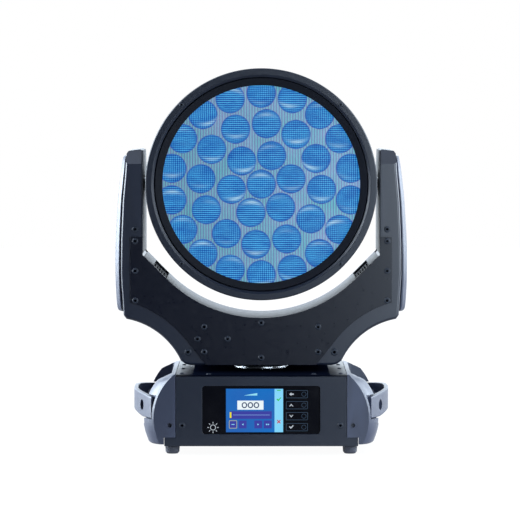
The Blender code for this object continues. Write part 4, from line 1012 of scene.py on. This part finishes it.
def yoke_outline():
    """Front outline of the yoke: haunches, tapered arms and a round valley for the head."""
    low = [(94.0, YOKE_BOTTOM), (101.0, YOKE_BOTTOM + 1.6)]
    haunch = arc(HAUNCH_C, HAUNCH_R, 154.5, 100.5, 30)
    outside = [(182.6, 180.6), (YOKE_HIGH.x, 234.0), (185.5, 280.0), (183.2, 332.0),
               (179.7, 372.0), (178.6, 394.5), (176.2, 398.2), (ARM_INNER_X, ARM_TOP)]
    corner = (ARM_INNER_X, ARM_INNER_X + TILT_Z - VALLEY_R * math.sqrt(2))
    valley = arc((0, TILT_Z), VALLEY_R, -45, -90, 40)
    half = low + haunch + outside + [corner] + valley
    return half + [(-x, z) for x, z in reversed(half[:-1])]


def opening_outline():
    """The hole in the front and rear faces that the cover plates close."""
    margin = 7.0
    low = [(66.0, YOKE_BOTTOM + 7.3)] + arc(PLATE_ARC_C, PLATE_ARC_R + margin, 152, 118, 12)
    edge = low[-1][0]
    shoulder = (edge, edge + TILT_Z - (VALLEY_R + margin) * math.sqrt(2))
    half = low + [shoulder] + arc((0, TILT_Z), VALLEY_R + margin, -45, -90, 24)
    return half + [(-x, z) for x, z in reversed(half[:-1])]


def rounded_slab(name, outline, radius, half_depth):
    """The yoke's outline as a solid whose outer edges are round, front and rear; the edges of
    the valley and the inner faces of the arms stay sharp."""
    steps = 5
    soft = []
    for x, z in outline:
        valley = math.hypot(x, z - TILT_Z) < VALLEY_R + 0.5
        inner = abs(x) < ARM_INNER_X + 0.01 and z > YOKE_BOTTOM + 80
        soft.append(0.0 if valley or inner else radius)
    sections = []
    for k in range(steps + 1):
        a = math.radians(90 * k / steps)
        loop = soften(inset(outline, [r * (1 - math.sin(a)) for r in soft]), 2.5)
        y = half_depth - radius * (1 - math.cos(a))
        sections.append([(x, -y, z) for x, z in loop])
    return loft(name, sections + [[(x, -y, z) for x, y, z in row] for row in reversed(sections)])


def slanted_box(name, sign, along, across, depth, edge=0.0):
    """A block on the 45 degree shoulder: up the slope, across the yoke and outwards."""
    obj = box(name, (along[0], across[0], -depth[1]), (along[1], across[1], -depth[0]), edge, 2)
    foot = Vector((VALLEY_R / math.sqrt(2), 0, TILT_Z - VALLEY_R / math.sqrt(2))) * MM
    place = Matrix.Translation(foot) @ Matrix.Rotation(math.radians(-45), 4, "Y")
    if sign < 0:
        place = Matrix.Diagonal((-1, 1, 1, 1)) @ place
    obj.data.transform(place)
    if sign < 0:
        obj.data.flip_normals()
    return obj


def vent_cutter(name, sign, start, end):
    return slanted_box(name, sign, (VENT_NEAR, VENT_FAR), (-VENT_HALF_D, VENT_HALF_D),
                       (start - 3.0, end))


def yoke_frame():
    """Moulded shell of the yoke, hollow, with the openings that the covers close."""
    shell = rounded_slab("yoke_shell", yoke_outline(), 3.5, YOKE_HALF_D)
    wall = 3.0
    wedges, roofs = [], []
    for name, sign in (("front", -1), ("rear", 1)):
        for kind, low, group in (("wedge", 0.0, wedges), ("roof", -4.5, roofs)):
            cutter = box("%s_%s" % (kind, name), (-210, -40, low), (210, 40, 60))
            cutter.location = (0, sign * (YOKE_HALF_D + 0.01) * MM, ARM_CHAMFER_Z * MM)
            cutter.rotation_euler = (sign * math.radians(-45), 0, 0)
            group.append(cutter)
    cut(shell, *wedges)
    cavity = plate("cavity", [inset(yoke_outline(), wall)], -YOKE_HALF_D + wall, YOKE_HALF_D - wall)
    shelf = box("motor_shelf", (-110, -74, 131.5), (-60, 74, 134.5))
    web = box("motor_web", (150.0, -74, 150), (153.0, 74, 217))
    cut(shelf, rod("shelf_hole", 5.0, (-85.0, 0, 126.5), 20, "Z", 32))
    cut(web, rod("web_hole", 5.0, (145.0, 0, 186.0), 20, "X", 32))
    cut(cavity, shelf, web, *roofs)
    cutters = [cavity, plate("cover_opening", [opening_outline()], -90, 90)]
    for side, sign in (("left", -1), ("right", 1)):
        lo, hi = sorted((sign * 172.0, sign * 220.0))
        cutters.append(box("arm_opening_" + side, (lo, -52, 208), (hi, 52, 362)))
        lo = min(sign * 150.0, sign * 168.0)
        cutters.append(rod("bearing_seat_" + side, 20.5, (lo, 0, TILT_Z), 18, "X", 60))
        cutters.append(vent_cutter("frame_vent_" + side, sign, 0.0, 8.0))
    cutters.append(rod("hub_seat", 33.0, (0, 0, 105), 20, "Z", 96))
    cut(shell, *cutters)
    piece(shell, "yoke", "yoke_shell", ["yoke_frame"])


def yoke_covers():
    """Front and rear plates, the bent liner of the valley, grilles and inner arm plates."""
    gap_x = PLATE_GAP_X
    radius = VALLEY_R - LINER_T - GAP + 0.2
    low = [(73.0, PLATE_LOW.z)] + arc(PLATE_ARC_C, PLATE_ARC_R, 144.5, 107, 30)
    up = [(PLATE_X, 196.6), (PLATE_X, PLATE_TOP), (gap_x, PLATE_TOP)]
    corner = (gap_x, gap_x + TILT_Z - radius * math.sqrt(2))
    half = low + up + [corner] + arc((0, TILT_Z), radius, -45, -90, 40)
    outline = half + [(-x, z) for x, z in reversed(half[:-1])]
    for name, low_y, high_y in (("yoke_front_plate", PLATE_LOW.y, PLATE_HIGH.y),
                                ("yoke_rear_plate", -PLATE_HIGH.y, -PLATE_LOW.y)):
        piece(plate(name + "_sheet", [outline], low_y, high_y, "Y", 0.25, 2), "yoke", "dark_plate",
              [name])
    inner, outer = VALLEY_R - GAP - LINER_T, VALLEY_R - GAP
    reach = LINER_REACH / math.sqrt(2)
    lines = []
    for r in (outer, inner):
        c = r / math.sqrt(2)
        end = (c + reach, TILT_Z - c + reach)
        lines.append([end] + arc((0, TILT_Z), r, -45, -135, 96) + [(-end[0], end[1])])
    liner = plate("valley_liner_sheet", [lines[0] + list(reversed(lines[1]))], -YOKE_HALF_D,
                  YOKE_HALF_D)
    cut(liner, *(vent_cutter("liner_vent", sign, 0.0, 8.0) for sign in (-1, 1)))
    piece(liner, "yoke", "liner", ["valley_liner"])
    for side, sign in (("left", -1), ("right", 1)):
        grille = slanted_box("vent_louvres_" + side, sign, (VENT_NEAR + 0.4, VENT_FAR - 0.4),
                             (-VENT_HALF_D + 0.4, VENT_HALF_D - 0.4), (1.2, 3.6), 0.3)
        slots = []
        for i in range(5):
            x = VENT_NEAR + 4.0 + 4.2 * i
            for y in (-32.0, 0.0, 32.0):
                slots.append(slanted_box("slot", sign, (x, x + 1.8), (y - 14, y + 14), (0.0, 6.0)))
        cut(grille, *slots)
        grille = bevel(grille, 0.25, 2, 60)
        piece(grille, "yoke", "vent", ["vent_grille_" + side])
        lo, hi = edges("arm_plate_" + side)
        outline = soften([(lo.y, lo.z), (hi.y, lo.z), (hi.y, 380.0), (56.0, hi.z), (-56.0, hi.z),
                          (lo.y, 380.0)], 3.0, 5)
        sheet = plate("arm_plate_sheet_" + side, [outline, circle(0, TILT_Z, 12.0, 64)], lo.x, hi.x,
                      "X", 0.3, 2)
        piece(sheet, "yoke", "liner", ["arm_plate_" + side])


def arm_covers():
    """Bulged, softly edged outer cover of each arm, a shell 2.4 mm thick."""
    levels = [(184.8, 183.4, 187.6, 58.0), (190.0, 184.0, 191.5, 64.5), (215.0, 185.8, 193.4, 67.5),
              (242.0, 186.8, 194.0, 69.0), (280.0, 186.3, 193.4, 69.0), (330.0, 184.3, 190.4, 68.0),
              (356.0, 182.0, 188.0, 65.5), (372.0, 180.6, 186.2, 62.0), (386.0, 180.0, 184.4, 52.0),
              (391.0, 179.6, 183.2, 44.0)]
    fine = []
    for i in range(len(levels) - 1):
        for k in range(6):
            fine.append(smooth_table(levels, i + k / 6))
    fine.append(levels[-1])
    wall = 2.4
    for side, sign in (("left", -1), ("right", 1)):
        skins = []
        for thick in (0.0, wall):
            rows = []
            for z, x0, x1, half in fine:
                x1, half = min(x1, ARM_COVER_HIGH.x) - thick, half - thick
                x1 = max(x1, x0 + 0.6)
                low = x0 - (3.0 if thick else 0.0)
                soft = min(5.0, (x1 - x0) * 0.7)
                right = [(low, half), (x1 - soft, half), (x1, half - 1.8 * soft)]
                ring = [(x, -y) for x, y in right] + list(reversed(right))
                ring = soften(ring, 9.0, 4)
                if thick:
                    z = min(max(z, fine[0][0] + wall), fine[-1][0] - wall)
                rows.append([(sign * x, y, z) for x, y in ring])
            skins.append(rows)
        outer = loft("arm_cover_shell_" + side, skins[0])
        keep = [row for row, above in zip(skins[1], skins[1][1:] + [None])
                if above is None or row[0][2] != above[0][2]]
        cut(outer, loft("arm_cover_inside", keep))
        piece(outer, "yoke", "moulded_cover", ["arm_cover_" + side])


def yoke_screws():
    """Pan heads seen on the yoke's front, and the same on its rear."""
    on_plate = [(-166.9, 278.9), (-166.9, 239.4), (-166.9, 200.0), (166.9, 278.9), (166.9, 239.4),
                (166.9, 200.0), (0.0, 170.5), (0.0, 124.0), (-75.5, 165.0), (75.5, 165.0),
                (-75.5, 131.7), (75.5, 131.7), (-84.5, 149.0), (-44.5, 149.0)]
    on_shell = [(-166.9, 294.5), (166.9, 294.5)]
    wide = [(-97.0, 131.5), (97.0, 131.5)]
    for face, sign in (("front", -1), ("rear", 1)):
        plate_y, shell_y = sign * (YOKE_HALF_D + GAP + 1.2), sign * YOKE_HALF_D
        for i, (x, z) in enumerate(on_plate):
            screw("yoke_%s_screw_%d" % (face, i), "m4", (x, plate_y, z), (0, sign, 0), "yoke")
        for i, (x, z) in enumerate(on_shell):
            screw("arm_%s_screw_%d" % (face, i), "m4", (x, shell_y, z), (0, sign, 0), "yoke")
        for i, (x, z) in enumerate(wide):
            screw("haunch_%s_screw_%d" % (face, i), "m5", (x, shell_y, z), (0, sign, 0), "yoke")


# ------------------------------------------------------------------ head
def head_turned(name, profile, radius, steps=192, closed=True, edge_steps=3):
    return turned(name, soften(profile, radius, edge_steps, closed), (0, 0, TILT_Z), "Y", steps,
                  closed)


def head_rings():
    r, front, back = RING_R, RING_FRONT, RING_BACK
    bezel = [(r - 1.2, front), (r, front - 1.2), (r, back), (r - 7.0, back), (r - 7.0, 67.0),
             (134.6, 67.0), (134.6, 70.0), (142.0, 70.0), (142.0, front - 2.5), (145.0, front)]
    ring = head_turned("bezel_ring", bezel, 0.9)
    piece(ring, "head", "painted_sheet", ["head_bezel"])
    c = CLAMP_R
    clamp = [(c - 0.8, 77.0), (c, 76.2), (c, 70.3), (VISIBLE_R, 70.3), (VISIBLE_R, 75.0)]
    ring = head_turned("clamp_ring_turned", clamp, 0.6)
    piece(ring, "head", "clamp", ["clamp_ring"])
    for i in range(4):
        a = math.radians(45 + 90 * i)
        spot = (148.6 * math.cos(a), -front + 0.05, TILT_Z + 148.6 * math.sin(a))
        screw("bezel_screw_%d" % i, "m3", spot, (0, -1, 0), "head")


def head_shell():
    """Drum behind the bezel, closing in towards the rear cover, with two shaft holes."""
    outside = [(150.5, RING_BACK - GAP), (149.5, 20.0), (149.0, 0.0), (147.0, -28.0),
               (141.0, -48.0), (131.0, -62.0), (119.0, -71.0)]
    inside = [(r - 3.0, f + (1.5 if r < 145 else 0.0)) for r, f in reversed(outside)]
    inside[0] = (113.0, -71.0)
    inside[-1] = (147.2, RING_BACK - GAP)
    shell = head_turned("head_housing", outside + inside, 14.0, 160, True, 5)
    cut(shell, *(rod("shaft_hole", 8.8, (x, 0, TILT_Z), 15, "X", 48) for x in (-155.0, 140.0)))
    piece(shell, "head", "moulded_cover", ["head_shell"])
    lo, hi = BACK_LOW, BACK_HIGH
    rim = (hi.x - lo.x) / 2
    profile = [(0, -66.0), (rim, -66.0), (rim, -72.0), (rim - 6.0, -hi.y), (0, -hi.y)]
    cover = head_turned("rear_cover_moulded", profile, 2.5, 158, False, 4)
    bowl = rod("bowl", 104.0, (0, 73.2, TILT_Z), 10.0, "Y", 90)
    slots = []
    for i in range(9):
        z = TILT_Z - 44 + 11 * i
        half = math.sqrt(49.0 ** 2 - (z - TILT_Z) ** 2) - 4
        slots.append(box("slot", (-half, 60, z - 3), (half, 90, z + 3)))
    cut(cover, bowl, *slots)
    piece(cover, "head", "moulded_cover", ["rear_cover"])
    for i in range(6):
        a = math.radians(30 + 60 * i)
        spot = (98.0 * math.cos(a), hi.y - 2.0, TILT_Z + 98.0 * math.sin(a))
        screw("rear_cover_screw_%d" % i, "m3", spot, (0, 1, 0), "head")


def ribbed_disc(name, radius, back, front, depth, rib, hole=None):
    """A disc with upright ribs on its front, drawn column by column; front and back are
    forward distances."""
    bm = bmesh.new()
    step = rib / 8
    count = int(2 * radius / step)
    columns = []
    for i in range(count + 1):
        x = -radius + 2 * radius * i / count
        half = math.sqrt(max(radius * radius - x * x, 1.0))
        y = -(front - depth * 0.5 * (1 - math.cos(math.tau * x / rib)))
        columns.append([bm.verts.new(Vector(p) * MM) for p in
                        ((x, y, TILT_Z - half), (x, y, TILT_Z + half),
                         (x, -back, TILT_Z + half), (x, -back, TILT_Z - half))])
    for low, high in zip(columns, columns[1:]):
        for i in range(4):
            j = (i + 1) % 4
            bm.faces.new((low[i], low[j], high[j], high[i]))
    bm.faces.new(columns[0])
    bm.faces.new(columns[-1])
    obj = raw(name, mesh_of(name, bm))
    return cut(obj, hole) if hole else obj


def lens_cells():
    """Centre of each lens in the ring plan, placed round the middle on its ring."""
    for radius, count, first in CELL_RINGS:
        for k in range(count):
            a = math.radians(first + 360.0 * k / count)
            yield radius * math.cos(a), radius * math.sin(a)


def lens_discs():
    """37 low domes with level ribs, each carrying its own place and the place and power of its painted
    highlight for the material.
    """
    dice = random.Random(11)
    bm = bmesh.new()
    place = bm.verts.layers.float_vector.new("cell_place")
    glow = bm.verts.layers.float_vector.new("cell_glow")
    rows, cols = 68, 12
    top = -LENS_LOW.y
    plate_f = 59.5
    for cx, cz in lens_cells():
        # painted highlight: upper discs mostly get their streak low, lower discs high, and it leans
        # sideways towards the middle
        seed = dice.uniform(0.0, 0.5)
        lift = dice.choice((-0.66, -0.5, 0.62)) if cz > -20 else dice.choice((-0.6, 0.55, 0.7))
        power = dice.choice((0.2, 0.4, 0.6, 0.8, 1.0))
        side = dice.uniform(-0.25, 0.25) - 0.25 * cx / 120.0
        grid = []
        for i in range(rows + 1):
            v = -math.cos(math.pi * i / rows) if i < 4 or i > rows - 4 else -1 + 2 * i / rows
            v = max(-0.9995, min(0.9995, v))
            half = math.sqrt(1 - v * v)
            line = []
            for k in range(cols + 1):
                u = half * (-1 + 2 * k / cols)
                r2 = u * u + v * v
                f = plate_f + 0.5 + (top - plate_f - 0.5 - 0.15) * (1 - r2)
                f += 0.15 * math.cos(math.tau * v * CELL_R / RIB) * max(0.0, 1 - r2)
                spot = Vector((cx + u * CELL_R, -f, TILT_Z + cz + v * CELL_R)) * MM
                vert = bm.verts.new(spot)
                vert[place] = (u, v, seed)
                vert[glow] = (side, lift, power)
                line.append(vert)
            grid.append(line)
        ring = ([row[0] for row in grid] + grid[-1][1:-1] + [row[-1] for row in reversed(grid)]
                + list(reversed(grid[0][1:-1])))
        sole = []
        for vert in ring:
            low = bm.verts.new(Vector((vert.co.x, -(plate_f - 0.4) * MM, vert.co.z)))
            low[place] = vert[place]
            low[glow] = vert[glow]
            sole.append(low)
        for low, high in zip(grid, grid[1:]):
            for k in range(cols):
                bm.faces.new((low[k], low[k + 1], high[k + 1], high[k]))
        for k in range(len(ring)):
            m = (k + 1) % len(ring)
            bm.faces.new((ring[k], ring[m], sole[m], sole[k]))
        bm.faces.new(sole)
    return raw("lens_discs", mesh_of("lens_discs", bm))


def optics():
    screw_lo, screw_hi = edges("zoom_screw")
    x, z = (screw_lo.x + screw_hi.x) / 2, (screw_lo.z + screw_hi.z) / 2
    hole = rod("screw_hole", 2.8, (x, -50.0, z), 20, "Y", 32)
    carrier = ribbed_disc("lens_carrier", 141.0, 56.0, 59.5, 0.35, PLATE_RIB, hole)
    piece(carrier, "lens_carriage", "lens_acrylic", ["zoom_lens_plate"])
    discs = lens_discs()
    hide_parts("zoom_lens_plate")
    piece(discs, "lens_carriage", "lens", angle=60)
    glass = ribbed_disc("glass_disc", GLASS_R, -GLASS_HIGH.y, -GLASS_LOW.y, 0.25, RIB)
    piece(glass, "head", "front_glass", ["front_glass"])


base_panels()
side_covers()
handles()
feet()
display()
sockets()
pan_hub()
yoke_frame()
yoke_covers()
arm_covers()
yoke_screws()
head_rings()
head_shell()
optics()


# ------------------------------------------------------------------ floor, light and camera
def mapped(tree, source, low, high, start, end):
    """Smooth step of a value between low and high, from start to end."""
    node = tree.nodes.new("ShaderNodeMapRange")
    node.interpolation_type = "SMOOTHSTEP"
    tree.links.new(source, node.inputs["Value"])
    for socket, value in (("From Min", low), ("From Max", high), ("To Min", start), ("To Max", end)):
        node.inputs[socket].default_value = value
    return node.outputs["Result"]


def combined(tree, operation, a, b):
    node = tree.nodes.new("ShaderNodeMath")
    node.operation = operation
    tree.links.new(a, node.inputs[0])
    tree.links.new(b, node.inputs[1])
    return node.outputs[0]


def floor():
    """Pale floor: near white to the camera, and a bright bounce beside and behind the light."""
    bpy.ops.mesh.primitive_plane_add(size=12.0, location=(0, 0, 0))
    plane = bpy.context.object
    plane.name = "floor"
    mat = bpy.data.materials.new("floor_pale")
    mat.use_nodes = True
    tree = mat.node_tree
    nodes, link = tree.nodes, tree.links.new
    bsdf = nodes["Principled BSDF"]
    bsdf.inputs["Base Color"].default_value = (0.93, 0.93, 0.94, 1.0)
    bsdf.inputs["Roughness"].default_value = 0.7
    glow = nodes.new("ShaderNodeEmission")
    shadow = nodes.new("ShaderNodeMixShader")
    shadow.inputs[0].default_value = 0.05
    link(glow.outputs[0], shadow.inputs[1])
    link(bsdf.outputs[0], shadow.inputs[2])
    place = nodes.new("ShaderNodeNewGeometry")
    split = nodes.new("ShaderNodeSeparateXYZ")
    link(place.outputs["Position"], split.inputs[0])
    bounce = nodes.new("ShaderNodeEmission")
    bounce.inputs["Color"].default_value = (0.90, 0.95, 1.0, 1.0)
    link(mapped(tree, split.outputs["Y"], -0.45, 0.05, 0.10, 1.1), bounce.inputs["Strength"])
    path = nodes.new("ShaderNodeLightPath")
    blend = nodes.new("ShaderNodeMixShader")
    link(path.outputs["Is Camera Ray"], blend.inputs[0])
    link(bounce.outputs[0], blend.inputs[1])
    link(shadow.outputs[0], blend.inputs[2])
    link(blend.outputs[0], nodes["Material Output"].inputs["Surface"])
    plane.data.materials.append(mat)


def world():
    """White to the camera; a studio with bright side panels, a bright back and a dim front."""
    sky = bpy.data.worlds.new("studio")
    sky.use_nodes = True
    SCENE.world = sky
    tree = sky.node_tree
    nodes, link = tree.nodes, tree.links.new
    coords = nodes.new("ShaderNodeTexCoord")
    split = nodes.new("ShaderNodeSeparateXYZ")
    link(coords.outputs["Generated"], split.inputs[0])
    back = mapped(tree, split.outputs["Y"], -0.25, 0.35, 0.04, 3.0)
    wide = nodes.new("ShaderNodeMath")
    wide.operation = "ABSOLUTE"
    link(split.outputs["X"], wide.inputs[0])
    panel = combined(tree, "MULTIPLY", mapped(tree, wide.outputs[0], 0.60, 0.92, 0.0, 1.0),
                     mapped(tree, split.outputs["Y"], -0.40, 0.0, 0.0, 1.0))
    panel = combined(tree, "MULTIPLY", panel, mapped(tree, split.outputs["X"], -0.3, 0.3, 20.0, 10.0))
    cool = nodes.new("ShaderNodeBackground")
    cool.inputs["Color"].default_value = (0.80, 0.90, 1.0, 1.0)
    link(combined(tree, "ADD", back, panel), cool.inputs["Strength"])
    white = nodes.new("ShaderNodeBackground")
    white.inputs["Color"].default_value = (1.0, 1.0, 1.0, 1.0)
    path = nodes.new("ShaderNodeLightPath")
    blend = nodes.new("ShaderNodeMixShader")
    link(path.outputs["Is Camera Ray"], blend.inputs[0])
    link(cool.outputs[0], blend.inputs[1])
    link(white.outputs[0], blend.inputs[2])
    link(blend.outputs[0], nodes["World Output"].inputs["Surface"])


def area_light(name, place, target, size, watts, colour=(1, 1, 1)):
    data = bpy.data.lights.new(name, "AREA")
    data.shape = "RECTANGLE"
    data.size, data.size_y = size
    data.energy = watts
    data.color = colour
    lamp = bpy.data.objects.new(name, data)
    SCENE.collection.objects.link(lamp)
    lamp.location = place
    lamp.rotation_euler = (Vector(target) - Vector(place)).to_track_quat("-Z", "Y").to_euler()


def camera():
    data = bpy.data.cameras.new("camera")
    data.sensor_width = 36.0
    data.lens = 232.0
    data.clip_end = 50.0
    obj = bpy.data.objects.new("camera", data)
    SCENE.collection.objects.link(obj)
    obj.location = (-0.0016, -4.51, 0.4655)
    obj.rotation_euler = (math.radians(90 - 2.733), 0, 0)
    SCENE.camera = obj


floor()
world()
area_light("front_right", (2.6, -2.2, 1.6), (0, 0, 0.28), (1.6, 1.6), 10)
area_light("near_right", (0.71, -1.2, 0.35), (0.1, 0, 0.3), (0.9, 0.9), 22, (0.78, 0.90, 1.0))
camera()
SCENE.view_settings.view_transform = "Standard"
